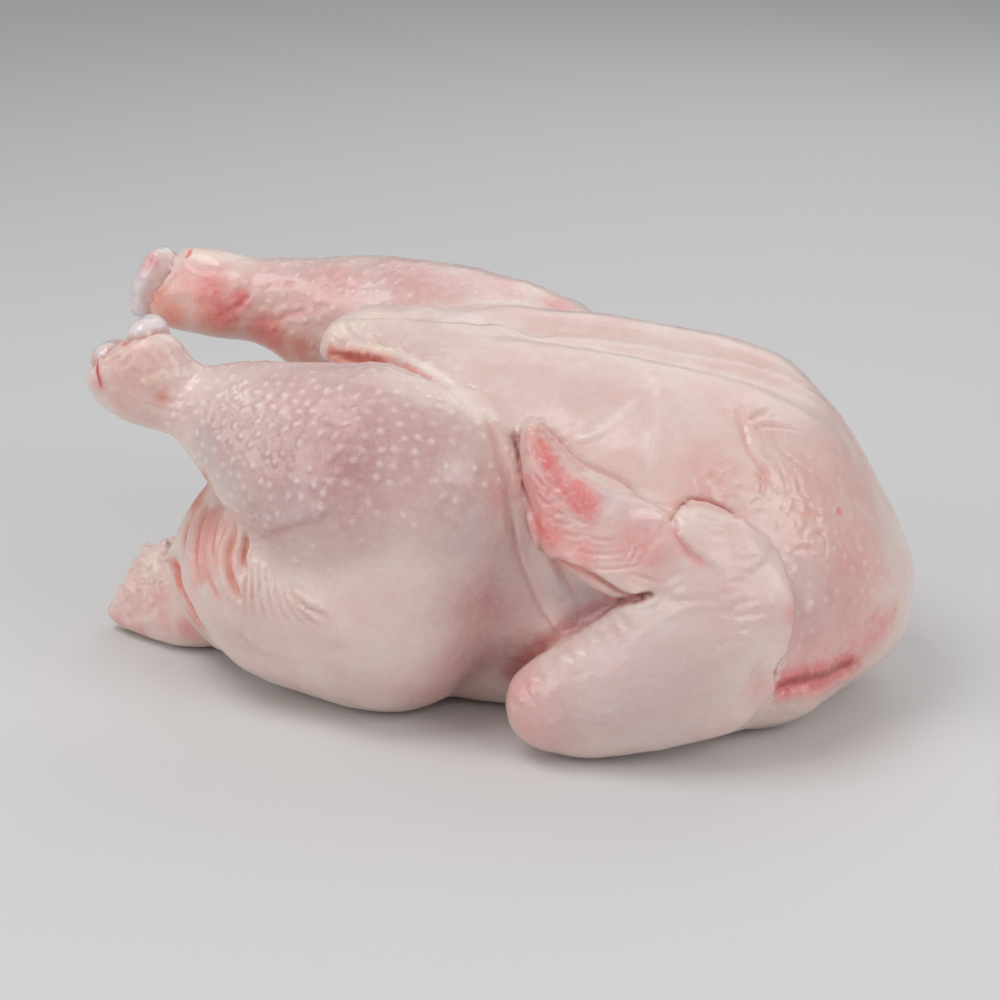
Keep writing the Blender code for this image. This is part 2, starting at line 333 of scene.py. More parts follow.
SOCKET_DEPTH = 1.5
SOCKET_RIM = 1.3
co, out = places(skin.data), directions(skin.data)
for node in BONE_ENDS:
    bone_end = surface_of(frame["nodes"][node].data)
    hits = [bone_end.find_nearest(Vector(p), 4 * MM) for p in co]
    gap = np.array([4 * MM if hit[3] is None else hit[3] for hit in hits])
    co -= out * (SOCKET_DEPTH * MM * np.exp(-((gap / (SOCKET_RIM * MM)) ** 2)))[:, None]
move_to(skin.data, co)
triangles = sum(len(p.vertices) - 2 for p in skin.data.polygons)
print("skin net:", len(skin.data.vertices), "vertices,", triangles, "triangles")

# %% [markdown]
# ## Carving tools
# Skin folds in few ways: a furrow (a dip with two soft lips), a ridge, a fold whose one side stands over
# the other, a crumple of many small creases, and a swell over a wide area. Each tool moves vertices along
# the skin's own direction, and can stain the skin as it goes, because real folds trap blood and raw skin
# reddens where it rubs; a deep stain in a cleft is painted shade. Stains are kept as numbers on the vertices
# for the finish.

# %% Carving tools
FAR_SIDE_STAIN = 0.55
CREASE_WIDTH = 0.12


def fainter(how):
    """The same mark for the far side, where nothing is known, with less of its stain."""
    return {key: value * FAR_SIDE_STAIN if key == "amount" else value for key, value in how.items()}


def soft_noise(co, size, seed=0.0, stretch=(1, 1, 1)):
    """Smooth noise at each place, with grains of the given size in millimetres."""
    scale = np.array(stretch) / (size * MM)
    return np.array([noise.noise(Vector(p)) for p in co * scale + (seed, 0, 0)])


class Carving:
    """The skin's vertices in numbers, with the stains laid on them."""

    STAINS = ("blood", "raw", "mauve", "fat", "pale", "thin", "shade", "deep", "wet")

    def __init__(self, mesh):
        self.mesh = mesh
        self.co = places(mesh)
        self.out = directions(mesh)
        self.told = self.co.copy()
        self.stains = {name: np.zeros(len(self.co)) for name in self.STAINS}

    def refresh(self):
        """Writes the moves to the mesh and reads the new directions."""
        move_to(self.mesh, self.co)
        self.out = directions(self.mesh)

    def report(self, name):
        """Refreshes, and prints how far the skin has moved since the last report."""
        self.refresh()
        moved = np.linalg.norm(self.co - self.told, axis=1) / MM
        print(f"{name}: {int((moved > 0.05).sum())} vertices moved, by up to {moved.max():.1f} mm")
        self.told = self.co.copy()

    def reach(self, line, span):
        """The vertices within the span of the line: how far away, how far along, and on which side."""
        low, high = line.min(0) - span, line.max(0) + span
        near = np.flatnonzero(np.all((self.co > low) & (self.co < high), axis=1))
        points = self.co[near]
        away, along, side = np.full(len(near), 1e9), np.zeros(len(near)), np.ones(len(near))
        for i, (a, b) in enumerate(zip(line, line[1:])):
            run = b - a
            t = np.clip((points - a) @ run / max(run @ run, 1e-12), 0, 1)
            gap = points - a - t[:, None] * run
            distance = np.linalg.norm(gap, axis=1)
            closer = distance < away
            away[closer] = distance[closer]
            along[closer] = (i + t[closer]) / (len(line) - 1)
            across = np.cross(self.out[near[closer]], run)
            side[closer] = np.sign(np.einsum("ij,ij->i", across, gap[closer]))
        kept = away < span
        return near[kept], away[kept], along[kept], side[kept]

    def held(self, near, along, line, ends):
        """Fades a mark out at its ends, and on the back of a thin flap, where skin faces the other way."""
        middle = line[len(line) // 2]
        nearest = near[np.argmin(np.linalg.norm(self.co[near] - middle, axis=1))]
        facing = np.clip(self.out[near] @ self.out[nearest] * 2 + 0.6, 0, 1)
        fade = np.clip(np.minimum(along, 1 - along) / ends, 0, 1)
        return fade * (2 - fade) * facing

    def lay(self, name, near, amount):
        """Stains some vertices, where they aren't stained more already."""
        self.stains[name][near] = np.maximum(self.stains[name][near], amount)

    def furrow(self, line, width, depth, lip=0.35, stain=None, amount=0.0, spread=1.5, ends=0.18):
        """A dip along the line, with a soft lip on each side. A negative depth makes a ridge."""
        near, away, along, _ = self.reach(line, width * MM * 4)
        if len(near) == 0:
            return
        taper = self.held(near, along, line, ends)
        away = away / (width * MM * (0.45 + 0.55 * taper))
        height = lip * np.exp(-((away - 1.9) ** 2)) - np.exp(-(away**2))
        self.co[near] += self.out[near] * (height * depth * MM * taper)[:, None]
        if stain:
            self.lay(stain, near, amount * taper * np.exp(-((away / spread) ** 2)))

    def fold(
        self, line, over, height, reach=6.0, edge=0.9, dip=0.9, stain=None, amount=0.0, spread=1.6, ends=0.15
    ):
        """One side stands over the other: over is 1 for the left of the line as it runs, -1 for the right."""
        near, away, along, side = self.reach(line, max(reach * 2.2, edge * 5) * MM)
        if len(near) == 0:
            return
        taper = self.held(near, along, line, ends)
        across = away / MM * side * over
        high = 1 / (1 + np.exp(-np.clip(across / (edge * 0.35), -40, 40)))
        lift = high * np.exp(-((np.maximum(across, 0) / reach) ** 2)) * height
        trench = np.exp(-(((across + edge * 0.7) / edge) ** 2)) * dip
        self.co[near] += self.out[near] * ((lift - trench) * MM * taper)[:, None]
        if stain:
            self.lay(stain, near, amount * taper * np.exp(-(((across + edge) / (edge * spread)) ** 2)))

    def washes(self, name, marks, both=True):
        """Soft stains along lines of the picture, each with a width and an amount."""
        for mark, width, amount in marks:
            line = line_seen(*mark)
            self.wash(name, line, width, amount)
            if both:
                self.wash(name, other_side(line), width, amount * FAR_SIDE_STAIN)

    def wash(self, name, line, width, amount, ends=0.15):
        """A soft stain along a line."""
        near, away, along, _ = self.reach(line, width * MM * 2.5)
        if len(near):
            fade = np.exp(-((away / (width * MM)) ** 2))
            self.lay(name, near, amount * self.held(near, along, line, ends) * fade)

    def crumple(self, spots, size, height, stretch=(1, 1, 1), stain="raw", amount=0.0):
        """Creases the skin where smooth noise changes sign, within round areas of the picture."""
        share = np.zeros(len(self.co))
        for u, v, radius in spots:
            share = np.maximum(share, near_spot(self.co, seen(u, v), radius * MM))
        inside = np.flatnonzero(share > 0.01)
        crease = np.exp(-((soft_noise(self.co[inside], size, size, stretch) / CREASE_WIDTH) ** 2))
        self.co[inside] -= self.out[inside] * (crease * share[inside] * height * MM)[:, None]
        self.lay(stain, inside, crease * share[inside] * amount)

    def swell(self, spot, radius, height):
        """Lifts the skin over a round area, or sinks it if the height is negative."""
        self.co += self.out * (near_spot(self.co, spot, radius * MM) * height * MM)[:, None]

    def stain(self, name, spot, radius, amount):
        """A round stain."""
        self.stains[name] = np.maximum(self.stains[name], near_spot(self.co, spot, radius * MM) * amount)

    def stain_spots(self, name, spots, both=True):
        """Round stains at points of the picture, each with a radius and an amount."""
        for u, v, radius, amount in spots:
            for centre in both_sides(u, v)[: 2 if both else 1]:
                self.stain(name, centre, radius, amount)

    def furrows(self, marks, both=True, **how):
        """A furrow along each line of the picture, and on the far side too."""
        for mark in marks:
            line = line_seen(*mark)
            self.furrow(line, **how)
            if both:
                self.furrow(other_side(line), **fainter(how))

    def folds(self, marks, over, both=True, **how):
        """The same for folds. On the far side the line's left and right change places."""
        for mark in marks:
            line = line_seen(*mark)
            self.fold(line, over, **how)
            if both:
                self.fold(other_side(line), -over, **fainter(how))


carving = Carving(skin.data)

# %% [markdown]
# ## Slow unevenness
# No living skin is as even as a lofted form. Soft noise of four sizes pushes it in and out by part of a
# millimetre before any fold is cut.

# %% Slow unevenness
UNEVEN = ((26, 0.8), (11, 0.4), (5, 0.14), (2.4, 0.07))
for size, height in UNEVEN:
    carving.co += carving.out * (soft_noise(carving.co, size, size) * height * MM)[:, None]
carving.report("unevenness")

# %% [markdown]
# ## The vent folds and the thigh's wrinkles
# Beside the vent the skin is gathered into thick rolls with orange creases between. They come from under
# the drumstick, run round the vent and spread down the thigh, ever finer and paler.

# %% Vent rolls
VENT_CREASES = (
    (((214, 500), (206, 514), (200, 530), (197, 550), (198, 572), (204, 594)), 1.6, 1.15),
    (((222, 508), (216, 526), (213, 546), (216, 566)), 1.1, 0.75),
    (((233, 515), (235, 532), (229, 552), (229, 572), (236, 592), (248, 610)), 1.4, 0.95),
    (((243, 528), (247, 542), (243, 558), (247, 574)), 1.0, 0.80),
    (((205, 496), (193, 514), (186, 536), (185, 560)), 1.0, 0.50),
    (((226, 520), (222, 540), (221, 556)), 0.7, 0.35),
    (((238, 545), (235, 558), (236, 570)), 0.7, 0.30),
    (((207, 562), (212, 582), (222, 602)), 0.9, 0.40),
)
RIM_CREASE = ((172, 545), (176, 566), (182, 588), (193, 610), (208, 634))
VENT_FLUSH = (((215, 500), (207, 530), (203, 560), (206, 590)), ((226, 510), (222, 540), (224, 570)))
for crease, width, depth in VENT_CREASES:
    carving.furrows(
        (crease,), width=width, depth=depth, lip=0.7, stain="raw", amount=0.85, spread=1.1, ends=0.35,
    )
carving.refresh()
carving.washes("raw", [(crease, 3.4, 0.30) for crease, width, depth in VENT_CREASES])
carving.washes("raw", [(mark, 10.0, 0.46) for mark in VENT_FLUSH])
carving.furrows((RIM_CREASE,), width=1.5, depth=1.8, lip=0.2, stain="raw", amount=1.0, spread=1.6, ends=0.1)
carving.washes("blood", ((RIM_CREASE, 2.4, 0.6), (VENT_FLUSH[0], 11.0, 0.38)))
carving.report("vent rolls")

# %% Thigh wrinkles
FAN_START = (
    (247, 572), (253, 566), (258, 562), (264, 562), (270, 564), (276, 568), (281, 574), (287, 580),
    (294, 588),
)
FAN_END = (
    (246, 618), (256, 626), (268, 630), (280, 633), (294, 634), (308, 634), (324, 632), (318, 612),
    (332, 616),
)
SHORT_WRINKLES = (
    ((284, 584), (296, 588), (309, 594)),
    ((300, 604), (316, 614), (336, 620)),
    ((322, 640), (345, 647), (372, 650)),
    ((246, 645), (264, 655), (288, 662)),
    ((236, 632), (250, 646), (262, 652)),
    ((352, 622), (368, 626), (390, 628)),
)
fan = []
for i, ((u0, v0), (u1, v1)) in enumerate(zip(FAN_START, FAN_END)):
    bow = 3 + i
    fan.append(((u0, v0), ((u0 + u1) / 2 - bow * 0.6, (v0 + v1) / 2 + bow * 0.5), (u1, v1)))
carving.furrows(fan, width=0.75, depth=0.46, lip=0.7, stain="raw", amount=0.40, spread=1.1, ends=0.35)
carving.furrows(SHORT_WRINKLES, width=0.7, depth=0.35, lip=0.45, stain="raw", amount=0.30, spread=1.0)
carving.report("thigh wrinkles")

# %% [markdown]
# ## The drumsticks
# The knee's skin is pulled smooth. Under the drumstick it creases where the leg was bent, and towards the
# hock it is dimpled by the muscle's ends.

# %% Drumstick creases and dimples
DRUM_CREASES = (
    ((252, 543), (270, 532), (290, 525), (318, 516), (338, 504)),
    ((300, 530), (326, 522), (350, 512)),
)
DIMPLES = 90
DIMPLES_LEFT = 192
DIMPLES_WIDTH = 230
DIMPLES_TOP = 372
DIMPLE_LENGTH = 2.2
chance = np.random.default_rng(3)


def scattered(count, across, down):
    """Chance places on the skin within a box of the picture."""
    for _ in range(count):
        yield seen(chance.uniform(*across), chance.uniform(*down))


def roughen(spots, radius, height):
    """A small lump or dip of chance size at each spot."""
    for spot in spots:
        carving.swell(spot, chance.uniform(*radius), chance.uniform(*height))


carving.folds(
    DRUM_CREASES[:1], 1, height=0.7, reach=4.0, edge=1.0, dip=0.7, stain="blood", amount=0.32, spread=2.0,
    ends=0.35,
)
carving.furrows(DRUM_CREASES[1:], width=1.0, depth=0.35, lip=0.3, stain="blood", amount=0.2)
for _ in range(DIMPLES):
    across, down = chance.beta(1.0, 2.2), chance.uniform(0, 1)
    spot = seen(
        DIMPLES_LEFT + across * DIMPLES_WIDTH, DIMPLES_TOP + across * 10 + down * (70 + across * 90)
    )
    lean = Vector((chance.uniform(-0.3, 0.1), 0, -1)) * DIMPLE_LENGTH * MM
    dimple = through([spot, blank_surface.find_nearest(spot + lean)[0]])
    deep = (0.30 - 0.26 * across) * chance.uniform(0.4, 1)
    for line in (dimple, other_side(dimple)):
        carving.furrow(line, width=1.1, depth=deep, lip=0.7, ends=0.5)
carving.report("drumsticks")

# %% [markdown]
# ## Flank, breast and neck
# Between thigh and wing a loose band of skin hangs from the breast. The breast itself shows pale scars and
# a few creases where the neck skin pulls on it, and at the neck the folded skin is pinched into a blood red
# slit with small granules of fat along it.

# %% Flank band
BAND_LEFT = ((478, 408), (493, 432), (504, 470), (511, 515), (522, 565), (543, 613), (556, 646))
BAND_RIGHT = ((503, 425), (514, 446), (522, 470), (531, 505), (540, 535), (557, 570), (582, 610))
BAND_MIDDLE = ((500, 450), (513, 492), (525, 540), (540, 580))
carving.folds((BAND_LEFT,), 1, height=1.1, reach=4.5, edge=1.1, dip=0.8, stain="raw", amount=0.40, ends=0.2)
carving.refresh()
carving.folds(
    (BAND_RIGHT,), -1, height=0.9, reach=3.5, edge=1.1, dip=0.8, stain="raw", amount=0.50, ends=0.2,
)
carving.furrows((BAND_MIDDLE,), width=1.1, depth=0.3, lip=0.4)
carving.report("flank band")

# %% Breast and shoulder
BREAST_SCARS = (
    ((641, 363), (654, 389), (657, 408), (652, 441), (648, 479)),
    ((643, 394), (620, 415), (598, 432), (575, 440)),
)
SHOULDER_CREASE = ((738, 383), (741, 414), (746, 430), (752, 450), (766, 468), (778, 487))
SHOULDER_BRANCHES = (
    ((747, 426), (758, 416), (774, 409)),
    ((751, 430), (766, 426), (783, 427), (808, 437)),
    ((764, 443), (782, 452), (799, 464), (823, 481), (842, 500)),
)
SHOULDER_FOLDS = (
    ((762, 480), (764, 490), (766, 500)),
    ((780, 470), (789, 484), (786, 502), (780, 520)),
    ((792, 468), (800, 482), (801, 498)),
    ((802, 492), (808, 501), (812, 512)),
    ((702, 478), (714, 470), (728, 473)),
    ((722, 492), (736, 486), (750, 492)),
    ((748, 507), (758, 500), (770, 507)),
    ((808, 502), (820, 512), (836, 520)),
    ((806, 536), (826, 532), (846, 540)),
    ((790, 552), (806, 548), (822, 552)),
)
KEEL_LINE = (
    (345, 319), (380, 318), (419, 320), (450, 325), (520, 331), (600, 340), (680, 352), (740, 364),
    (800, 385), (834, 408),
)
carving.furrows(BREAST_SCARS, width=0.9, depth=-0.42, lip=0.25, stain="pale", amount=0.7, spread=1.2)
carving.folds(
    (SHOULDER_CREASE,), 1, height=0.4, reach=5.0, edge=1.0, dip=0.8, stain="blood", amount=0.42, ends=0.35,
)
carving.furrows(
    SHOULDER_BRANCHES, width=0.8, depth=0.35, lip=0.6, stain="raw", amount=0.28, spread=1.1, ends=0.4,
)
carving.furrows(
    SHOULDER_FOLDS, width=0.8, depth=0.34, lip=0.8, stain="raw", amount=0.40, spread=1.3, ends=0.4,
)
SHOULDER_CRUMPLE = (
    (775, 480, 18), (805, 500, 22), (835, 545, 22), (715, 475, 14), (765, 430, 12),
)
carving.refresh()
carving.crumple(SHOULDER_CRUMPLE, 5.5, 0.42, (1.0, 1.0, 0.5), amount=0.42)
carving.crumple(SHOULDER_CRUMPLE, 3.2, 0.18, (1.0, 1.0, 0.5), "blood", 0.30)
carving.folds((KEEL_LINE,), -1, both=False, height=0.9, reach=5.0, edge=1.4, dip=0.8, ends=0.15)
carving.report("breast and shoulder")
KEEL_FLUSH = ((430, 304), (500, 309), (580, 320), (660, 334))
carving.washes("blood", ((KEEL_FLUSH, 5.0, 0.26),), both=False)

# %% Neck
NECK_SLIT = ((768, 699), (783, 694), (800, 689), (824, 684), (846, 672), (866, 655))
NECK_BAND = ((772, 690), (786, 684), (804, 679), (824, 675), (844, 664), (862, 650))
NECK_STREAKS = (
    ((898, 598), (893, 612), (886, 622)),
    ((890, 627), (876, 636), (861, 648)),
    ((880, 606), (872, 618), (862, 626)),
    ((862, 630), (848, 642), (838, 650)),
    ((836, 652), (824, 660), (812, 664)),
)
NECK_FLUSH = ((800, 668), (830, 664), (856, 650), (878, 630), (894, 606))
carving.folds(
    (NECK_SLIT,), -1, height=1.3, reach=4.0, edge=1.4, dip=0.7, stain="blood", amount=0.7, spread=3.0,
    ends=0.2,
)
carving.washes("blood", ((NECK_BAND, 6.4, 0.95), (NECK_FLUSH, 9.0, 0.55)))
carving.refresh()
carving.furrows(
    NECK_STREAKS, width=0.9, depth=0.5, lip=0.6, stain="blood", amount=0.5, spread=2.4, ends=0.35,
)
carving.refresh()
NECK_CRUMPLE = ((800, 676, 12), (830, 668, 12), (860, 650, 12), (886, 616, 12))
carving.crumple(NECK_CRUMPLE, 3.0, 0.25)
carving.refresh()
GRANULES = 34
GRANULES_LEFT = 772
GRANULES_WIDTH = 100
GRANULES_LOW = 690
GRANULE_RADIUS = 1.7
chance = np.random.default_rng(8)
for _ in range(GRANULES):
    t = chance.uniform(0, 1)
    spot = seen(
        GRANULES_LEFT + t * GRANULES_WIDTH + chance.uniform(-5, 5),
        GRANULES_LOW - t * 34 - t * t * 22 + chance.uniform(-9, 7),
    )
    carving.swell(spot, GRANULE_RADIUS, chance.uniform(0.1, 0.4))
    carving.stain("pale", spot, 1.6, chance.uniform(0.1, 0.5))
carving.report("neck")

# %% [markdown]
# ## The flap over the vent
# The breast skin ends in a loose flap with a fatty, pleated edge, and it is raw and orange underneath.

# %% Flap over the vent
FLAP_UNDER = (
    (324, 354), (336, 352), (348, 353), (362, 355), (380, 359), (400, 365), (420, 373), (440, 384),
)
FLAP_RIM = ((334, 344), (352, 346), (372, 349), (394, 355), (416, 364), (438, 375), (460, 389), (478, 404))
FLAP_PLEATS = (
    ((341, 320), (350, 334), (362, 343), (384, 350)),
    ((352, 322), (366, 334), (384, 347), (402, 357)),
    ((366, 330), (380, 342), (398, 350)),
    ((332, 338), (342, 345), (352, 348)),
)
FLAP_WRINKLES = (
    ((447, 374), (460, 382), (478, 392)),
    ((452, 382), (464, 392), (476, 404)),
    ((440, 384), (456, 396), (468, 408)),
    ((419, 320), (426, 313), (434, 305)),
)
carving.folds(
    (FLAP_UNDER,), 1, both=False, height=1.0, reach=4.0, edge=1.2, dip=1.5, stain="raw", amount=0.9,
    spread=1.6, ends=0.3,
)
carving.washes(
    "raw", ((FLAP_UNDER, 1.8, 0.7), (((326, 350), (336, 356), (350, 357)), 3.4, 0.8)), both=False,
)
carving.refresh()
carving.crumple(((342, 330, 7), (365, 323, 8), (395, 317, 8)), 2.4, 0.24, (1.0, 1.0, 0.6))
carving.refresh()
carving.furrows(FLAP_PLEATS, both=False, width=0.75, depth=0.42, lip=0.8, stain="fat", amount=0.5)
carving.furrows(FLAP_WRINKLES, both=False, width=0.7, depth=0.5, lip=0.6)
carving.furrows(
    (FLAP_RIM,), both=False, width=1.6, depth=-0.7, lip=0.0, stain="fat", amount=0.8, spread=1.6, ends=0.3,
)
carving.report("flap")

# %% [markdown]
# ## The folded wing
# The wing tip is a flat, red hand of skin, with a deep cleft between it and the forearm. Below it the
# forearm's edge is scalloped by a row of feather sockets, each a short rib across the edge, and the
# forearm's skin is crossed by fine wrinkles.

# %% Wing hand
HAND_LOW_EDGE = (
    (521, 430), (521, 454), (530, 507), (541, 543), (564, 561), (591, 572), (624, 592), (653, 599),
)
HAND_TOP_EDGE = (
    (529, 420), (537, 423), (554, 436), (574, 457), (589, 468), (626, 486), (657, 507), (672, 517),
)
HAND_CREASES = (
    ((534, 448), (541, 456), (548, 462)),
    ((545, 474), (552, 483), (558, 488), (566, 492)),
    ((558, 498), (564, 502), (570, 508)),
    ((571, 516), (578, 521), (588, 525)),
    ((586, 534), (592, 538), (604, 541), (622, 539)),
    ((572, 548), (591, 554), (612, 554), (630, 551)),
    ((576, 562), (594, 568), (612, 569), (630, 567), (646, 563)),
    ((624, 572), (642, 577), (660, 582), (677, 579)),
    ((552, 520), (562, 524), (574, 524)),
    ((550, 505), (556, 512), (566, 516)),
    ((532, 470), (538, 480), (546, 488)),
    ((536, 492), (544, 502), (552, 506)),
    ((560, 532), (572, 536), (584, 536)),
    ((638, 530), (637, 550), (627, 567)),
)
carving.folds(
    (HAND_LOW_EDGE,), 1, height=0.9, reach=4.0, edge=0.9, dip=1.2, stain="raw", amount=0.6, ends=0.12,
)
carving.refresh()
carving.folds(
    (HAND_TOP_EDGE,), -1, height=1.1, reach=4.0, edge=0.7, dip=0.9, stain="blood", amount=0.40, ends=0.03,
)
carving.refresh()
carving.furrows(
    HAND_CREASES, width=0.6, depth=0.28, lip=0.7, stain="blood", amount=0.5, spread=1.3, ends=0.4,
)
carving.refresh()
carving.crumple(((560, 500, 14), (590, 545, 15), (630, 560, 14)), 3.4, 0.16, (0.45, 1.0, 1.0))
HAND_FLUSH = (
    (((533, 436), (545, 454), (560, 482), (580, 505), (606, 524)), 6.0, 0.68),
    (((568, 480), (582, 496), (596, 512)), 5.4, 0.80),
    (((536, 516), (546, 530), (560, 544)), 6.0, 0.72),
    (((554, 474), (566, 494), (584, 518)), 2.2, 0.80),
    (((537, 462), (545, 506), (562, 545), (612, 562)), 10.0, 0.56),
    (((526, 430), (532, 446), (538, 466)), 3.4, 0.40),
    (((530, 424), (548, 437), (568, 457), (590, 476)), 3.4, 0.42),
    (((548, 520), (590, 550), (640, 565)), 9.0, 0.34),
)
carving.washes("blood", HAND_FLUSH)
carving.washes(
    "raw",
    ((((530, 424), (540, 440), (556, 470)), 4.0, 0.5), (((536, 512), (545, 532), (560, 548)), 5.0, 0.45)),
)
carving.report("wing hand")

# %% Wrist and forearm
THUMB_TIP = ((673, 522), (677, 512), (684, 507), (693, 506))
THUMB_GROOVE = ((673, 516), (677, 528), (683, 540), (692, 551), (703, 560), (716, 569))
WRIST_EDGE = (
    (684, 505), (700, 505), (726, 515), (749, 531), (772, 555), (784, 582), (788, 615), (784, 645),
    (772, 670), (768, 700),
)
WRIST_CREASES = (
    ((696, 514), (706, 520), (718, 522)),
    ((700, 524), (714, 530), (728, 532)),
    ((722, 520), (734, 532), (742, 544)),
    ((744, 536), (754, 550), (760, 562)),
    ((783, 640), (770, 652), (757, 664), (747, 682)),
)
CLEFT = ((657, 597), (645, 599), (632, 602), (620, 605), (610, 607))
FOREARM_SHADE = ((624, 600), (603, 607), (582, 619), (558, 635), (533, 653), (515, 669), (505, 686))
carving.folds(
    (WRIST_EDGE,), -1, height=2.2, reach=5.0, edge=0.9, dip=2.2, stain="raw", amount=0.45, spread=2.6,
    ends=0.07,
)
carving.refresh()
carving.folds((THUMB_TIP,), -1, height=1.1, reach=2.6, edge=0.7, dip=1.0, stain="raw", amount=0.55)
carving.folds(
    (THUMB_GROOVE,), 1, height=0.9, reach=4.5, edge=1.0, dip=1.0, stain="blood", amount=0.6, spread=2.0,
    ends=0.3,
)
carving.furrows(WRIST_CREASES, width=0.8, depth=0.4, lip=0.6, stain="blood", amount=0.22)
# The cleft and the band along the forearm's edge get the deep stain: painted shade where skin folds under
# skin.
carving.folds((CLEFT,), 1, height=0.6, reach=3.0, edge=0.9, dip=2.2, stain="deep", amount=0.6, ends=0.2)
carving.washes("deep", ((FOREARM_SHADE, 3.8, 0.42),))
# Along the forearm's edge the blood wash is partly painted shade.
carving.washes("blood", ((FOREARM_SHADE, 6.0, 0.40), (WRIST_EDGE, 3.2, 0.50)))
WRIST_FLECKS = (
    (716, 512), (735, 522), (752, 535), (765, 549), (786, 600), (789, 622), (700, 507), (778, 570),
)
carving.stain_spots("blood", [(*mark, 3.4, 0.8) for mark in WRIST_FLECKS])
carving.report("wrist and forearm")

# %% Scalloped edge and fine wrinkles of the forearm
SCALLOPS = 13
SCALLOP_LINE = ((618, 616), (600, 623), (580, 633), (560, 646), (540, 660), (522, 678), (510, 698))
SCALLOP_RUN = ((16, 16), (9, 24), (22, 20))
scallop_at = np.linspace(0, 1, SCALLOPS)
marks = np.array(SCALLOP_LINE, float)
knots = np.linspace(0, 1, len(marks))
ribs = []
for i, t in enumerate(scallop_at):
    u, v = (np.interp(t, knots, marks[:, column]) for column in (0, 1))
    du, dv = SCALLOP_RUN[i % 3]
    ribs.append(((u - 3, v - 4), (u + du * 0.4, v + dv * 0.35), (u + du, v + dv)))
carving.furrows(ribs, width=0.95, depth=0.34, lip=0.6, ends=0.5)
carving.refresh()
FOREARM_WRINKLES = 60
FOREARM_ACROSS = (540, 760)
FOREARM_DOWN = (560, 728)
chance = np.random.default_rng(5)
wrinkles = []
for _ in range(FOREARM_WRINKLES):
    u, v = chance.uniform(*FOREARM_ACROSS), chance.uniform(*FOREARM_DOWN)
    run = chance.uniform(14, 40)
    wrinkles.append(((u, v), (u + run * 0.5, v + chance.uniform(-4, 1)), (u + run, v - 6)))
carving.furrows(wrinkles, width=1.0, depth=0.24, lip=0.7, ends=0.5)
carving.report("scallops and wrinkles")

# %% [markdown]
# ## Hocks and tail
# The feet were cut off at the hocks, so skin ends there in torn lips round the cartilage, with cream
# tendon, red flesh and a streak of dark blood. The tail is a fatty, knobbly cone.

# %% Near hock
HOCK_LUMPS = 46
HOCK_PLEATS = (
    ((112, 368), (118, 382), (128, 398)),
    ((125, 370), (130, 384), (142, 402)),
    ((134, 366), (140, 376), (150, 382)),
    ((140, 402), (156, 408), (172, 412), (190, 402)),
    ((150, 396), (166, 402), (182, 402), (198, 390)),
    ((108, 394), (126, 408), (146, 418)),
    ((152, 344), (160, 356), (172, 366)),
    ((142, 348), (148, 360), (158, 368)),
    ((176, 420), (190, 410), (200, 398)),
    ((132, 352), (128, 362), (118, 368)),
)
DARK_STREAK = ((96, 359), (97, 368), (99, 378), (103, 390))
CAP_SEAM_A = ((129, 338), (144, 337), (163, 333))
CAP_SEAM_B = ((90, 361), (103, 361), (122, 351))
TENDON = ((139, 383), (152, 379), (170, 378), (184, 376))
carving.furrows(
    HOCK_PLEATS, both=False, width=0.9, depth=0.30, lip=0.6, stain="blood", amount=0.30, spread=1.3,
    ends=0.4,
)
carving.furrows((CAP_SEAM_A, CAP_SEAM_B), both=False, width=1.0, depth=-0.8, lip=0.0, ends=0.1)
carving.furrows(
    (TENDON,), both=False, width=1.9, depth=-1.2, lip=-0.3, stain="fat", amount=0.75, spread=1.3,
)
carving.refresh()
carving.stain_spots(
    "raw", ((125, 342, 2.6, 1.0), (162, 398, 5, 0.6), (120, 400, 7, 0.35)), both=False,
)
HOCK_BLUSH = (
    (150, 352, 8, 0.34), (100, 385, 6, 0.5), (120, 405, 9, 0.32), (150, 418, 8, 0.34), (175, 425, 8, 0.3),
    (165, 365, 7, 0.28), (130, 385, 8, 0.28),
)
carving.stain_spots("blood", HOCK_BLUSH, both=False)
carving.washes("blood", ((DARK_STREAK, 1.0, 0.96),), both=False)
carving.washes("deep", ((DARK_STREAK, 0.8, 0.4),), both=False)
carving.crumple(((115, 390, 9), (150, 400, 12), (140, 360, 8)), 4.2, 0.14)
roughen(scattered(HOCK_LUMPS, (92, 190), (345, 430)), (2.0, 4.0), (-0.2, 0.22))
carving.report("near hock")

# %% Far hock
FAR_LUMPS = 40
FAR_SEAM = ((142, 318), (150, 300), (160, 280), (170, 262), (168, 247))
FAR_CREASES = (
    ((225, 322), (262, 322), (300, 313), (340, 306)),
    ((250, 294), (244, 302), (232, 311), (216, 318)),
    ((243, 304), (252, 314), (258, 322)),
    ((262, 288), (280, 284), (300, 286)),
    ((186, 262), (200, 270), (214, 270)),
)
FAR_TENDON = ((174, 251), (190, 250), (208, 256), (226, 268))
RED_STREAK = ((184, 258), (190, 252), (194, 247))
carving.furrows((FAR_SEAM,), both=False, width=0.9, depth=1.0, lip=0.5, stain="raw", amount=0.5, ends=0.1)
carving.furrows(
    FAR_CREASES, both=False, width=1.0, depth=0.32, lip=0.4, stain="blood", amount=0.42, spread=2.2,
)
carving.furrows(
    (FAR_TENDON,), both=False, width=2.4, depth=-0.7, lip=-0.1, stain="fat", amount=0.6, spread=1.3,
)
carving.furrows((RED_STREAK,), both=False, width=0.7, depth=0.4, lip=0.4, stain="blood", amount=0.9)
roughen(scattered(FAR_LUMPS, (145, 300), (255, 345)), (2.0, 4.5), (-0.3, 0.35))
carving.report("far hock")
FAR_RED = (
    (210, 288, 13, 0.70), (240, 300, 8, 0.85), (185, 280, 10, 0.55), (225, 312, 11, 0.75),
    (262, 330, 14, 0.55), (255, 285, 14, 0.40), (330, 290, 24, 0.42), (420, 280, 24, 0.40),
    (500, 285, 20, 0.36), (560, 305, 12, 0.6),
)
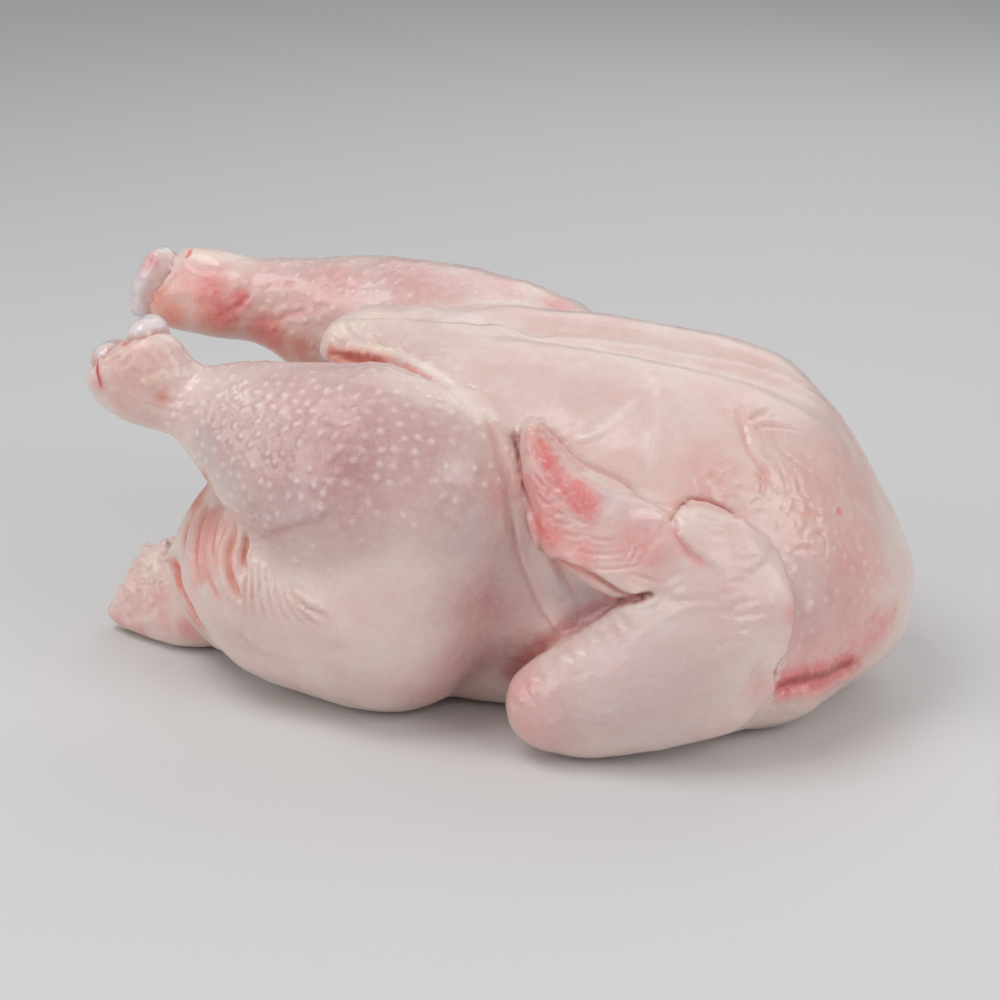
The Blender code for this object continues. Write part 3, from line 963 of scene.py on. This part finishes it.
FAR_ORANGE = (
    (158, 298, 11, 0.80), (172, 315, 13, 0.80), (215, 325, 17, 0.75), (270, 342, 18, 0.90),
    (302, 350, 12, 0.8), (200, 300, 20, 0.45), (290, 320, 16, 0.35),
)
carving.stain_spots("blood", FAR_RED, both=False)
carving.stain_spots("raw", FAR_ORANGE, both=False)

# %% Tail
TAIL_LUMPS = 150
TAIL_TOP_LUMPS = 60
TAIL_LOW = np.array([-124, -24, 1])
TAIL_HIGH = np.array([-97, 14, 34])
FACING_UP = 0.35
on_tail = np.flatnonzero(np.all((carving.co > TAIL_LOW * MM) & (carving.co < TAIL_HIGH * MM), axis=1))
upper = on_tail[carving.out[on_tail, 2] > FACING_UP]
roughen(carving.co[chance.choice(on_tail, TAIL_LUMPS, replace=False)], (1.4, 3.2), (-0.35, 0.75))
roughen(carving.co[chance.choice(upper, TAIL_TOP_LUMPS, replace=False)], (0.9, 2.0), (0.4, 1.1))
carving.report("tail")
TAIL_RED = (
    (108, 614, 6, 0.85), (120, 620, 8, 0.5), (190, 630, 10, 0.7), (140, 630, 6, 0.5), (165, 625, 9, 0.4),
)
TAIL_ORANGE = ((160, 600, 12, 0.45), (178, 580, 8, 0.9), (195, 622, 9, 0.8), (130, 605, 8, 0.3))
TAIL_FAT = ((172, 550, 6, 0.9), (150, 562, 7, 0.8), (130, 582, 7, 0.6), (115, 596, 5, 0.4))
VENT_SLIVER = ((196, 503, 5, 0.9), (201, 490, 6, 0.9), (207, 478, 6, 0.9))
carving.stain_spots("blood", TAIL_RED, both=False)
carving.stain_spots("raw", TAIL_ORANGE + VENT_SLIVER, both=False)
carving.stain_spots("fat", TAIL_FAT, both=False)

# %% [markdown]
# ## Broad stains
# Dark leg meat shows mauve through the skin of the drumsticks, the breast is cream, fat shows yellow at the
# tail, and the wing's hand is flushed. These are wide soft stains.

# %% Broad stains
# Most mauve is dark meat under the skin; the spots low on the thigh, on the flank and under the wing are
# partly painted shade.
MAUVE = (
    (340, 450, 44, 0.85), (290, 460, 34, 0.75), (410, 445, 36, 0.70), (240, 430, 28, 0.6),
    (470, 490, 34, 0.6), (270, 515, 24, 0.6), (320, 395, 30, 0.40), (485, 600, 26, 0.75),
    (470, 660, 26, 0.75), (240, 620, 24, 0.2), (525, 660, 22, 0.8), (500, 550, 20, 0.5),
    (430, 695, 20, 0.5), (360, 695, 22, 0.3), (585, 600, 12, 0.5), (800, 620, 18, 0.45),
    (840, 600, 18, 0.35), (400, 275, 40, 0.42), (310, 280, 30, 0.40), (270, 400, 30, 0.50),
    (640, 690, 44, 0.22), (560, 720, 30, 0.30), (350, 400, 30, 0.50), (560, 390, 60, 0.16),
    (400, 600, 56, 0.14), (740, 580, 36, 0.10),
)
BLUSH = (
    (600, 530, 14, 0.35), (841, 511, 3, 0.8), (705, 472, 9, 0.30), (760, 484, 8, 0.3), (697, 603, 9, 0.30),
    (786, 612, 7, 0.6), (758, 685, 12, 0.40), (850, 645, 18, 0.40), (886, 615, 10, 0.4),
    (820, 560, 26, 0.30), (540, 370, 40, 0.20), (520, 690, 20, 0.42), (500, 620, 20, 0.30),
    (740, 515, 10, 0.3), (620, 640, 14, 0.2), (820, 430, 26, 0.20), (850, 500, 24, 0.26),
    (800, 640, 22, 0.34), (440, 690, 24, 0.30), (400, 275, 36, 0.26), (700, 450, 30, 0.14),
    (500, 655, 16, 0.3), (640, 545, 20, 0.56), (720, 590, 34, 0.26), (600, 690, 42, 0.18),
    (680, 680, 42, 0.18), (530, 720, 26, 0.40), (830, 470, 40, 0.32), (850, 570, 42, 0.34),
    (820, 660, 26, 0.46), (140, 380, 24, 0.40), (640, 430, 44, 0.22), (340, 450, 50, 0.20),
    (300, 400, 30, 0.2), (740, 420, 34, 0.26), (130, 600, 24, 0.25), (700, 480, 26, 0.34),
)
WET = (
    (262, 382, 7, 1.0), (278, 392, 8, 1.0), (240, 385, 6, 0.7), (252, 552, 6, 1.0), (262, 560, 6, 0.8),
    (170, 378, 6, 0.7), (330, 372, 10, 0.5), (400, 380, 12, 0.5), (450, 405, 8, 0.7), (110, 345, 6, 0.6),
)
ORANGE = (
    (210, 535, 13, 0.5), (195, 590, 13, 0.25), (207, 480, 7, 0.9), (680, 505, 5, 0.6), (640, 470, 14, 0.18),
    (810, 500, 24, 0.38), (855, 550, 26, 0.34), (340, 355, 7, 0.6), (530, 640, 12, 0.25),
    (140, 590, 20, 0.26), (715, 475, 18, 0.26), (860, 480, 24, 0.34), (808, 512, 7, 0.5),
    (730, 466, 7, 0.4), (765, 475, 6, 0.5), (850, 620, 20, 0.36), (505, 480, 16, 0.36), (530, 600, 16, 0.3),
)
# Thin skin shows blue grey; the spots in the flank pocket under the wing are partly painted shade.
THIN = (
    (585, 605, 10, 1.0), (560, 590, 9, 0.8), (612, 598, 7, 0.7), (607, 496, 5, 0.75), (626, 508, 6, 0.7),
    (650, 523, 6, 0.7), (475, 545, 14, 0.5), (640, 680, 44, 0.45), (520, 600, 12, 0.5),
    (300, 510, 14, 0.35), (205, 445, 9, 0.6), (230, 480, 9, 0.6), (810, 600, 16, 0.35),
)
FAT = (
    (338, 330, 7, 0.9), (364, 322, 8, 0.6), (392, 316, 8, 0.4), (460, 398, 10, 0.7), (480, 415, 9, 0.6),
    (505, 450, 8, 0.4), (600, 590, 7, 0.6), (640, 592, 7, 0.6), (530, 460, 4, 0.5), (782, 500, 8, 0.5),
    (795, 478, 6, 0.4), (748, 500, 8, 0.45),
)
for name, spots in (
    ("mauve", MAUVE), ("blood", BLUSH), ("raw", ORANGE), ("thin", THIN), ("fat", FAT), ("wet", WET),
):
    carving.stain_spots(name, spots)
print("stained vertices:", {name: int((values > 0.1).sum()) for name, values in carving.stains.items()})

# %% [markdown]
# ## The hollow of the body
# The bird was drawn, so flesh lines a hollow, painted dark red: the flesh's own red darkened as painted
# shade. The skin's cut edge at the vent is soft, so its net is smoothed there after the carving. Where
# carving left a vertex that turns away from its neighbours, it is drawn back among them.

# %% Hollow of the body
HOLLOW = (Vector((-112, 0, 62)), Vector((-60, 0, 56)), Vector((20, 0, 50)))
HOLLOW_RADIUS = 30
FACING_IN = 0.3
EDGE_ROUNDS = 9
EDGE_PULL = 0.6
EDGE_RAW = 0.5
hollow_line = through([list(p * MM) for p in HOLLOW])
near, away, along, _ = carving.reach(hollow_line, HOLLOW_RADIUS * MM)
ends = np.clip((along * (len(hollow_line) - 1)).astype(int), 0, len(hollow_line) - 2)
inward = np.einsum("ij,ij->i", carving.out[near], hollow_line[ends] - carving.co[near])
inside = near[inward > FACING_IN * away]
shade = np.zeros((len(carving.co), 1))
shade[inside] = 1.0
pairs = links(skin.data)
count = np.maximum(np.bincount(pairs.ravel(), minlength=len(shade)), 1)
for _ in range(EDGE_ROUNDS):
    shade = (shade + averaged(shade, pairs, count)) / 2
shade = shade[:, 0]
rim = 4 * shade * (1 - shade)
for _ in range(EDGE_ROUNDS):
    carving.co += (averaged(carving.co, pairs, count) - carving.co) * EDGE_PULL * rim[:, None]
carving.refresh()
carving.stains["shade"] = shade
carving.lay("raw", np.arange(len(shade)), rim * EDGE_RAW)
print("inside of the body:", len(inside), "vertices")

# %% Vertices that turn away
SPIKE_TURN = 0.6
SPIKE_ROUNDS = 4
for _ in range(SPIKE_ROUNDS):
    smooth_out = averaged(carving.out, pairs, count)
    spikes = np.einsum("ij,ij->i", carving.out, smooth_out) < SPIKE_TURN
    carving.co[spikes] = averaged(carving.co, pairs, count)[spikes]
    carving.refresh()
print("drawn back among their neighbours in the last round:", int(spikes.sum()), "vertices")

# %% [markdown]
# ## Where skin meets skin
# In a deep fold two sides of skin face each other. Juice gathers there and little light comes in, so the
# fold is painted dark red: partly the juice's own colour, partly painted shade. A few rays sent out from each
# vertex find such places: the more of them meet skin, and the sooner they do, the deeper the fold.

# %% Deep folds
FOLD_REACH = 12.0
FOLD_CLEAR = 0.5
FOLD_RAYS = 7
RAY_TILT = math.radians(56)
FOLD_ROUNDS = 5
ANY_SLANT = (0.31, 0.22, 0.92)
carved_surface = surface_of(skin.data)
tangent = np.cross(carving.out, ANY_SLANT)
tangent /= np.maximum(np.linalg.norm(tangent, axis=1), 1e-9)[:, None]
cotangent = np.cross(carving.out, tangent)
starts = carving.co + carving.out * FOLD_CLEAR * MM
deep = np.zeros((len(starts), 1))
for turn in np.arange(FOLD_RAYS) * 2 * math.pi / FOLD_RAYS:
    rays = carving.out * math.cos(RAY_TILT)
    rays += (tangent * math.cos(turn) + cotangent * math.sin(turn)) * math.sin(RAY_TILT)
    for i, (start, ray) in enumerate(zip(starts, rays)):
        met = carved_surface.ray_cast(start, ray, FOLD_REACH * MM)[3]
        if met is not None:
            deep[i] += (1 - met / (FOLD_REACH * MM)) / FOLD_RAYS
for _ in range(FOLD_ROUNDS):
    deep = (deep + averaged(deep, pairs, count)) / 2
carving.stains["deep"] = np.maximum(carving.stains["deep"], deep[:, 0])
print("in deep folds:", int((deep > 0.2).sum()), "vertices, deepest", round(float(deep.max()), 2))

# %% [markdown]
# ## Feather follicles
# Every plucked feather leaves a small raised follicle. They stand close together on the legs and at the
# neck, and fade out on the breast. Each zone is a round area with a share of them, and the same zone lies
# on the far side.

# %% Where follicles stand
FOLLICLE_ZONES = (
    (215, 400, 26, 1.0), (260, 430, 34, 1.0), (330, 440, 42, 0.9), (430, 430, 34, 0.7), (250, 500, 28, 0.9),
    (350, 510, 30, 0.35), (400, 275, 42, 0.8), (310, 275, 34, 0.8), (480, 290, 26, 0.6),
    (845, 545, 40, 0.55), (870, 600, 24, 0.6), (800, 690, 22, 0.5), (200, 390, 24, 0.8),
    (225, 450, 26, 1.0),
)
ZONE_GAIN = 1.5
zone = np.zeros(len(carving.co))
for u, v, radius, amount in FOLLICLE_ZONES:
    for centre in both_sides(u, v):
        zone = np.maximum(zone, near_spot(carving.co, centre, radius * MM) * amount)
zone *= 1 - np.clip(carving.stains["shade"], 0, 1)


def keep_number(mesh, name, values):
    """Stores a number at each vertex of the mesh."""
    layer = mesh.attributes.get(name) or mesh.attributes.new(name, "FLOAT", "POINT")
    layer.data.foreach_set("value", values.astype(np.float32))


for name, values in carving.stains.items():
    keep_number(skin.data, name, np.clip(values, 0, 1))
keep_number(skin.data, "follicle_zone", np.clip(zone * ZONE_GAIN, 0, 1))
print("follicles stand on", round(100 * float((zone > 0.1).mean())), "% of the skin")

# %% [markdown]
# ## Node trees written as arithmetic
# Nodes are easier to read as calls and sums than as wires. One class makes a node, sets it and wires it in
# one call. Another wraps an output, so that adding or multiplying two of them adds the Math node that does
# it.

# %% Node trees
class Tree:
    """A node tree in which a node is made, set and wired in one call."""

    def __init__(self, tree):
        self.tree = tree

    def node(self, kind, settings=None, **values):
        made = self.tree.nodes.new(kind)
        for key, value in (settings or {}).items():
            setattr(made, key, value)
        self.wire(made.inputs, values)
        return made

    def wire(self, sockets, values):
        """Gives each named socket its value, or links it to another socket."""
        for key, value in values.items():
            socket, value = self.find(sockets, key), getattr(value, "socket", value)
            if hasattr(value, "links"):
                self.tree.links.new(value, socket)
            else:
                socket.default_value = value

    def number(self, kind, settings=None, output=0, **values):
        """The same, for an output that is reckoned with."""
        return Value(self, self.node(kind, settings, **values).outputs[output])

    @staticmethod
    def find(sockets, key):
        """The shown socket of that name, written with _ for its spaces, or of that number as in _0."""
        if key[1:].isdigit() and key[0] == "_":
            return sockets[int(key[1:])]
        wanted = key.replace("_", " ").lower()
        return next(s for s in sockets if s.name.lower() == wanted and s.enabled)


class Value:
    """A node's output that can be added, subtracted and multiplied."""

    def __init__(self, tree, socket):
        self.tree = tree
        self.socket = socket

    def maths(self, operation, other, flipped=False):
        pair = (other, self) if flipped else (self, other)
        return self.tree.number("ShaderNodeMath", {"operation": operation}, _0=pair[0], _1=pair[1])

    def __add__(self, other):
        return self.maths("ADD", other)

    def __radd__(self, other):
        return self.maths("ADD", other, True)

    def __sub__(self, other):
        return self.maths("SUBTRACT", other)

    def __rsub__(self, other):
        return self.maths("SUBTRACT", other, True)

    def __mul__(self, other):
        return self.maths("MULTIPLY", other)

    def __rmul__(self, other):
        return self.maths("MULTIPLY", other, True)


print("tools for node trees:", Tree.__name__, "and", Value.__name__)

# %% [markdown]
# ## Lifting the skin at each follicle
# Geometry Nodes scatter points evenly over the skin by a Poisson disk, and lift a small dome at each one:
# the skin stays one mesh, so no bead is stuck on it. Each vertex also keeps its way from the nearest
# follicle, from which the finish draws a pale tip finer than the net.

# %% Raising the follicles
FOLLICLE_SPACING = 3.4
FOLLICLE_RADIUS = 1.7
FOLLICLE_HEIGHT = 0.32
FOLLICLE_SEED = 11
FOLLICLE_DENSITY = 220000.0


def modifier_input(modifier, name, value):
    """Sets a Geometry Nodes input by its socket's identifier."""
    item = next(i for i in modifier.node_group.interface.items_tree if i.name == name and i.in_out == "INPUT")
    modifier[item.identifier] = value


def follicle_tree():
    group = bpy.data.node_groups.new("follicles", "GeometryNodeTree")
    face = group.interface
    face.new_socket("Geometry", in_out="OUTPUT", socket_type="NodeSocketGeometry")
    face.new_socket("Geometry", in_out="INPUT", socket_type="NodeSocketGeometry")
    for name in ("Spacing", "Radius", "Height"):
        face.new_socket(name, in_out="INPUT", socket_type="NodeSocketFloat")
    face.new_socket("Seed", in_out="INPUT", socket_type="NodeSocketInt")
    face.new_socket("Finish", in_out="INPUT", socket_type="NodeSocketMaterial")
    t = Tree(group)
    given = t.node("NodeGroupInput").outputs
    area = t.number("GeometryNodeInputNamedAttribute", {"data_type": "FLOAT"}, Name="follicle_zone")
    points = t.node(
        "GeometryNodeDistributePointsOnFaces", {"distribute_method": "POISSON"},
        Mesh=given["Geometry"], Distance_Min=given["Spacing"], Density_Max=FOLLICLE_DENSITY,
        Density_Factor=area, Seed=given["Seed"],
    )
    close = t.node("GeometryNodeProximity", {"target_element": "POINTS"}, _0=points.outputs["Points"]).outputs
    share = t.number("ShaderNodeMath", {"operation": "DIVIDE"}, _0=close["Distance"], _1=given["Radius"])
    dome = t.number(
        "ShaderNodeMapRange", {"interpolation_type": "SMOOTHSTEP"},
        Value=share, From_Min=0.0, From_Max=1.0, To_Min=1.0, To_Max=0.0,
    )
    eased = t.number("ShaderNodeMath", {"operation": "POWER"}, _0=area, _1=0.5)
    lift = dome * Value(t, given["Height"]) * eased
    normal = t.node("GeometryNodeInputNormal").outputs["Normal"]
    offset = t.node("ShaderNodeVectorMath", {"operation": "SCALE"}, _0=normal, Scale=lift).outputs["Vector"]
    here = t.node("GeometryNodeInputPosition").outputs["Position"]
    apart = t.node("ShaderNodeVectorMath", {"operation": "SUBTRACT"}, _0=here, _1=close["Position"])
    stored = given["Geometry"]
    for name, kind, value in (
        ("follicle", "FLOAT", dome * eased),
        ("follicle_from", "FLOAT_VECTOR", apart.outputs["Vector"]),
    ):
        stored = t.node(
            "GeometryNodeStoreNamedAttribute", {"data_type": kind, "domain": "POINT"},
            Geometry=stored, Name=name, Value=value,
        ).outputs["Geometry"]
    moved = t.node("GeometryNodeSetPosition", Geometry=stored, Offset=offset).outputs["Geometry"]
    real = t.node("GeometryNodeRealizeInstances", Geometry=moved).outputs["Geometry"]
    done = t.node("GeometryNodeSetMaterial", Geometry=real, Material=given["Finish"]).outputs["Geometry"]
    t.node("NodeGroupOutput", Geometry=done)
    return group


skin_finish = bpy.data.materials.new("raw_skin")
scatter = skin.modifiers.new("Follicles", "NODES")
scatter.node_group = follicle_tree()
for name, value in (
    ("Spacing", FOLLICLE_SPACING * MM), ("Radius", FOLLICLE_RADIUS * MM), ("Height", FOLLICLE_HEIGHT * MM),
    ("Seed", FOLLICLE_SEED), ("Finish", skin_finish),
):
    modifier_input(scatter, name, value)
settle(skin)
skin.data.shade_smooth()
print("skin:", len(skin.data.polygons), "faces")

# %% [markdown]
# ## Making a finish
# A finish is made in the same way: its nodes are written as calls and sums. It also knows speckles, soft
# curves, mixes of colours and fine relief.

# %% Tools for a finish
class Finish(Tree):
    """A material with one shader, and calls for what a finish needs often."""

    def __init__(self, material):
        material.use_nodes = True
        super().__init__(material.node_tree)
        self.tree.nodes.clear()
        self.shader = self.tree.nodes.new("ShaderNodeBsdfPrincipled")
        output = self.tree.nodes.new("ShaderNodeOutputMaterial")
        self.tree.links.new(self.shader.outputs["BSDF"], output.inputs["Surface"])
        self.where = self.node("ShaderNodeTexCoord").outputs["Object"]

    def stain(self, name):
        return self.number("ShaderNodeAttribute", {"attribute_name": name}, output=2)

    def speckle(self, size, detail=4.0, rough=0.55, warp=0.0):
        """Noise from 0 to 1 whose grains are about the given size in millimetres."""
        return self.number(
            "ShaderNodeTexNoise", Vector=self.where, Scale=1 / (size * MM), Detail=detail, Roughness=rough,
            Distortion=warp,
        )

    def curve(self, value, low, high, floor=0.0, ceiling=1.0):
        """Stretches the span from low to high over the range from floor to ceiling, with soft ends."""
        return self.number(
            "ShaderNodeMapRange", {"interpolation_type": "SMOOTHSTEP"},
            Value=value, From_Min=low, From_Max=high, To_Min=floor, To_Max=ceiling,
        )

    def mix(self, share, first, second):
        """The first colour turning into the second as share goes from 0 to 1."""
        made = self.node("ShaderNodeMix", {"data_type": "RGBA"}, _0=share, _6=first, _7=second)
        return made.outputs[2]

    def relief(self, height, depth, below=None):
        made = self.node("ShaderNodeBump", Height=height, Distance=depth * MM, Strength=1.0)
        if below is not None:
            self.tree.links.new(below, made.inputs["Normal"])
        return made.outputs["Normal"]

    def set(self, **values):
        """Sets or links the shader's own sockets."""
        self.wire(self.shader.inputs, values)


def linear(red, green, blue):
    """A colour given as it is seen, 0 to 255, in the linear numbers that a shader takes."""
    seen_parts = [part / 255 for part in (red, green, blue)]
    return (*[p / 12.92 if p <= 0.04045 else ((p + 0.055) / 1.055) ** 2.4 for p in seen_parts], 1.0)


# %% [markdown]
# ## Skin finish
# Raw skin is thin and wet: light goes in and comes out pink, and a film of water lies on top. So the finish
# has some light travel under the surface, a clear coat, and colours that are mixed from the stains. Noise
# breaks each stain up, because blood and fat never lie evenly. Fine unevenness, the finest wrinkles and the
# follicles' tips are relief, because the net is too coarse for them.

# %% Colours of the skin
CREAM = linear(237, 218, 208)
PINK = linear(230, 188, 179)
MAUVE_MEAT_AND_SHADE = linear(180, 128, 131)
BLOOD_RED = linear(226, 84, 90)
RAW_ORANGE = linear(226, 116, 86)
CLOT_RED = linear(132, 44, 40)
FAT_CREAM = linear(247, 228, 210)
SCAR_WHITE = linear(250, 238, 233)
THIN_SKIN_AND_SHADE_GREY = linear(196, 188, 192)
# The hollow's flesh red, darkened as painted shade.
HOLLOW_FLESH_AND_SHADE_RED = linear(150, 50, 46)
# The red of deep folds: part juice, part painted shade.
FOLD_JUICE_AND_SHADE_RED = linear(170, 72, 60)
print("blood red in linear numbers:", [round(part, 3) for part in BLOOD_RED])

# %% Skin and meat
# Cream skin mottled with pink, then dark meat (in low places partly painted shade), thin places and fat.
f = Finish(skin_finish)
mottle = f.curve(f.speckle(13, 4.0, 0.6), 0.32, 0.70)
fine_mottle = f.curve(f.speckle(1.7, 4.0), 0.35, 0.68)
base = f.mix(mottle * 0.45, CREAM, PINK)
base = f.mix(fine_mottle * 0.16, base, PINK)
broken = f.speckle(3.2, 4.0, 0.68, 0.8)
veined = f.speckle(1.4, 3.0, 0.6, 1.5)
# Mauve of dark meat, partly painted shade low on the thigh and flank.
meat_and_shade = f.stain("mauve") * f.curve(broken, 0.2, 0.75, 0.62, 1.0)
base = f.mix(meat_and_shade, base, MAUVE_MEAT_AND_SHADE)
# Grey of thin skin, partly painted shade in the flank pocket.
base = f.mix(f.stain("thin") * 0.7, base, THIN_SKIN_AND_SHADE_GREY)
fat = f.curve(f.stain("fat") * (0.5 + broken), 0.15, 0.85)
base = f.mix(fat * 0.8, base, FAT_CREAM)
print("nodes so far:", len(f.tree.nodes))

# %% Follicle tips, raw places and blood
# Pale tips and scars come first, so that raw skin and blood lie over them. Where blood is strongest it
# turns to clots. Deep folds and the hollow are darkest, partly by painted shade, so they come last.
tip_gap = f.number("ShaderNodeAttribute", {"attribute_name": "follicle_from"}, output=1)
tip_away = f.number("ShaderNodeVectorMath", {"operation": "LENGTH"}, output=1, _0=tip_gap)
tip = f.curve(tip_away, 0.0, FOLLICLE_RADIUS * MM, 1.0, 0.0) * f.curve(f.stain("follicle"), 0.0, 0.3)
grown = f.curve(f.speckle(7.0, 2.0), 0.3, 0.7, 0.4, 1.0)
frost = f.curve(f.speckle(6.0, 3.0, 0.6), 0.45, 0.70)
base = f.mix(f.stain("mauve") * frost * 0.10, base, SCAR_WHITE)
base = f.mix(tip * grown * 0.44, base, SCAR_WHITE)
base = f.mix(f.stain("pale") * 0.75, base, SCAR_WHITE)
raw = f.curve(f.stain("raw") * (0.5 + broken * 0.6 + veined * 0.4), 0.0, 1.15)
base = f.mix(raw * 0.9, base, RAW_ORANGE)
blood = f.curve(f.stain("blood") * (0.4 + broken * 0.6 + veined * 0.6), 0.0, 1.2)
base = f.mix(blood * 0.95, base, BLOOD_RED)
flecks = f.curve(veined, 0.60, 0.74) * f.curve(f.stain("blood"), 0.40, 0.8)
base = f.mix(flecks * 0.45, base, BLOOD_RED)
base = f.mix(f.curve(f.stain("blood"), 0.82, 1.0) * 0.75, base, CLOT_RED)
# Deep folds are darkened red: partly juice, partly painted shade.
deep_fold_shade = f.curve(f.stain("deep") * (0.7 + broken * 0.6), 0.10, 0.55)
base = f.mix(deep_fold_shade * 0.70, base, FOLD_JUICE_AND_SHADE_RED)
# The hollow: flesh red, partly painted shade.
base = f.mix(f.curve(f.stain("shade"), 0.2, 0.9) * 0.9, base, HOLLOW_FLESH_AND_SHADE_RED)
print("nodes so far:", len(f.tree.nodes))

# %% Film of water and fine relief
wet = f.stain("wet") * f.curve(broken, 0.35, 0.6)
wrinkles = f.speckle(0.75, 2.0, 0.6, 1.2)
relief = f.relief(f.speckle(2.4, 2.0), 0.22)
relief = f.relief(wrinkles, 0.11, relief)
relief = f.relief(tip * grown, 0.20, relief)
f.set(
    Base_Color=base,
    Roughness=f.curve(f.speckle(4.0, 2.0), 0.3, 0.7, 0.30, 0.46) - wet * 0.22,
    Normal=relief,
    Subsurface_Weight=0.22,
    Subsurface_Scale=3.0 * MM,
    Coat_Weight=f.curve(f.speckle(14.0, 2.0), 0.35, 0.65, 0.40, 0.75),
    Coat_Roughness=0.18,
    Subsurface_Radius=(1.0, 0.38, 0.25),
)
print("skin finish has", len(f.tree.nodes), "nodes")

# %% [markdown]
# ## Cartilage
# The bone ends are blue white cartilage, smooth as wet glass. The far one has a pink hollow in its middle,
# and both turn the colour of flesh where the skin meets them.

# %% Knuckles
KNUCKLE_GRAIN = 0.55 * MM
KNUCKLE_ROUNDS = 6
CARTILAGE = linear(236, 230, 229)
CARTILAGE_PINK = linear(222, 150, 148)
CARTILAGE_GREY = linear(190, 184, 194)
SEAM_FLESH = linear(216, 158, 148)
SEAM_WIDTH = 1.5

cartilage = bpy.data.materials.new("cartilage")
c = Finish(cartilage)
cloud = c.curve(c.speckle(5.0, 4.0), 0.38, 0.64)
tone = c.mix(cloud * 0.4, CARTILAGE, CARTILAGE_GREY)
tone = c.mix(c.curve(c.speckle(3.2, 5.0), 0.56, 0.74) * 0.25, tone, CARTILAGE_PINK)
tone = c.mix(c.stain("recess") * 0.95, tone, CARTILAGE_PINK)
tone = c.mix(c.stain("seam") * 0.85, tone, SEAM_FLESH)
c.set(
    Base_Color=tone,
    Roughness=c.curve(c.speckle(2.0), 0.3, 0.7, 0.22, 0.36),
    Normal=c.relief(c.speckle(1.2, 2.0), 0.08),
    Subsurface_Weight=0.2,
    Subsurface_Scale=2.0 * MM,
    Coat_Weight=0.6,
    Coat_Roughness=0.1,
)


skin_surface = surface_of(skin.data)


def knuckle(node, name):
    piece = remesh(welded_copy((node,), name), KNUCKLE_GRAIN)
    relax(piece.data, KNUCKLE_ROUNDS)
    gaps = np.array([skin_surface.find_nearest(v.co)[3] for v in piece.data.vertices])
    keep_number(piece.data, "seam", np.exp(-((gaps / (SEAM_WIDTH * MM)) ** 2)))
    piece.data.materials.clear()
    piece.data.materials.append(cartilage)
    piece.data.shade_smooth()
    return piece


near_knuckle = knuckle("near_leg_bone", "near_knuckle")
far_knuckle = knuckle("far_leg_bone", "far_knuckle")

RECESS_SEEN = (150, 262)
RECESS_RADIUS = 6.0
RECESS_DEPTH = 1.3
cap = surface_of(far_knuckle.data)
ray = sight_line(*RECESS_SEEN)
spot = cap.ray_cast(eye, ray)[0] or cap.find_nearest(seen(*RECESS_SEEN))[0]
share = near_spot(places(far_knuckle.data), spot, RECESS_RADIUS * MM)
move_to(
    far_knuckle.data,
    places(far_knuckle.data) - directions(far_knuckle.data) * (share * RECESS_DEPTH * MM)[:, None],
)
keep_number(far_knuckle.data, "recess", share)
print("knuckles:", len(near_knuckle.data.polygons), "and", len(far_knuckle.data.polygons), "faces")

# %% [markdown]
# ## Floor and light
# A pale floor and soft studio light, brightest from above, as in the photograph.

# %% Floor, world and lamps
FLOOR_SIZE = 14.0
FLOOR_COLOUR = linear(222, 221, 220)
WORLD_COLOUR = (0.95, 0.97, 1.0, 1.0)
WORLD_STRENGTH = 0.34

bpy.ops.mesh.primitive_plane_add(size=FLOOR_SIZE, location=(0, 0, 0))
floor = bpy.context.object
floor.name = "floor"
floor_finish = bpy.data.materials.new("floor")
paint = Finish(floor_finish)
paint.set(Base_Color=FLOOR_COLOUR, Roughness=0.6)
floor.data.materials.append(floor_finish)

world = bpy.data.worlds.new("studio")
world.use_nodes = True
world.node_tree.nodes["Background"].inputs["Color"].default_value = WORLD_COLOUR
world.node_tree.nodes["Background"].inputs["Strength"].default_value = WORLD_STRENGTH
bpy.context.scene.world = world
bpy.context.scene.view_settings.view_transform = "Standard"


def lamp(name, place, size, power):
    """An area lamp that looks at the bird."""
    light = bpy.data.lights.new(name, "AREA")
    light.size = size
    light.energy = power
    obj = bpy.data.objects.new(name, light)
    bpy.context.scene.collection.objects.link(obj)
    toward = Vector((0, 0, 0.05)) - Vector(place)
    obj.matrix_world = Matrix.Translation(place) @ toward.to_track_quat("-Z", "Y").to_matrix().to_4x4()


lamp("key", (-0.34, -0.22, 0.92), 0.5, 2.95)
lamp("left", (-0.85, -0.70, 0.50), 0.6, 2.7)
lamp("side", (0.90, -0.55, 0.60), 0.7, 4.2)
lamp("rim", (0.15, 0.75, 0.75), 0.8, 2.0)

# %% [markdown]
# ## Handing over
# Each piece rides on the bird's one body and stands in for its solid. Last, the skin is kept inside the
# size that the solids set.

# %% Riding and size
PIECES = (
    (skin, "carcass", "carcass"),
    (near_knuckle, "near_leg_bone", "near_leg_bone"),
    (far_knuckle, "far_leg_bone", "far_leg_bone"),
)
for piece, node, slot in PIECES:
    inside_box = np.clip(places(piece.data), np.array(solid_low), np.array(solid_high))
    move_to(piece.data, inside_box)
    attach(piece, "root")
    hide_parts(node)
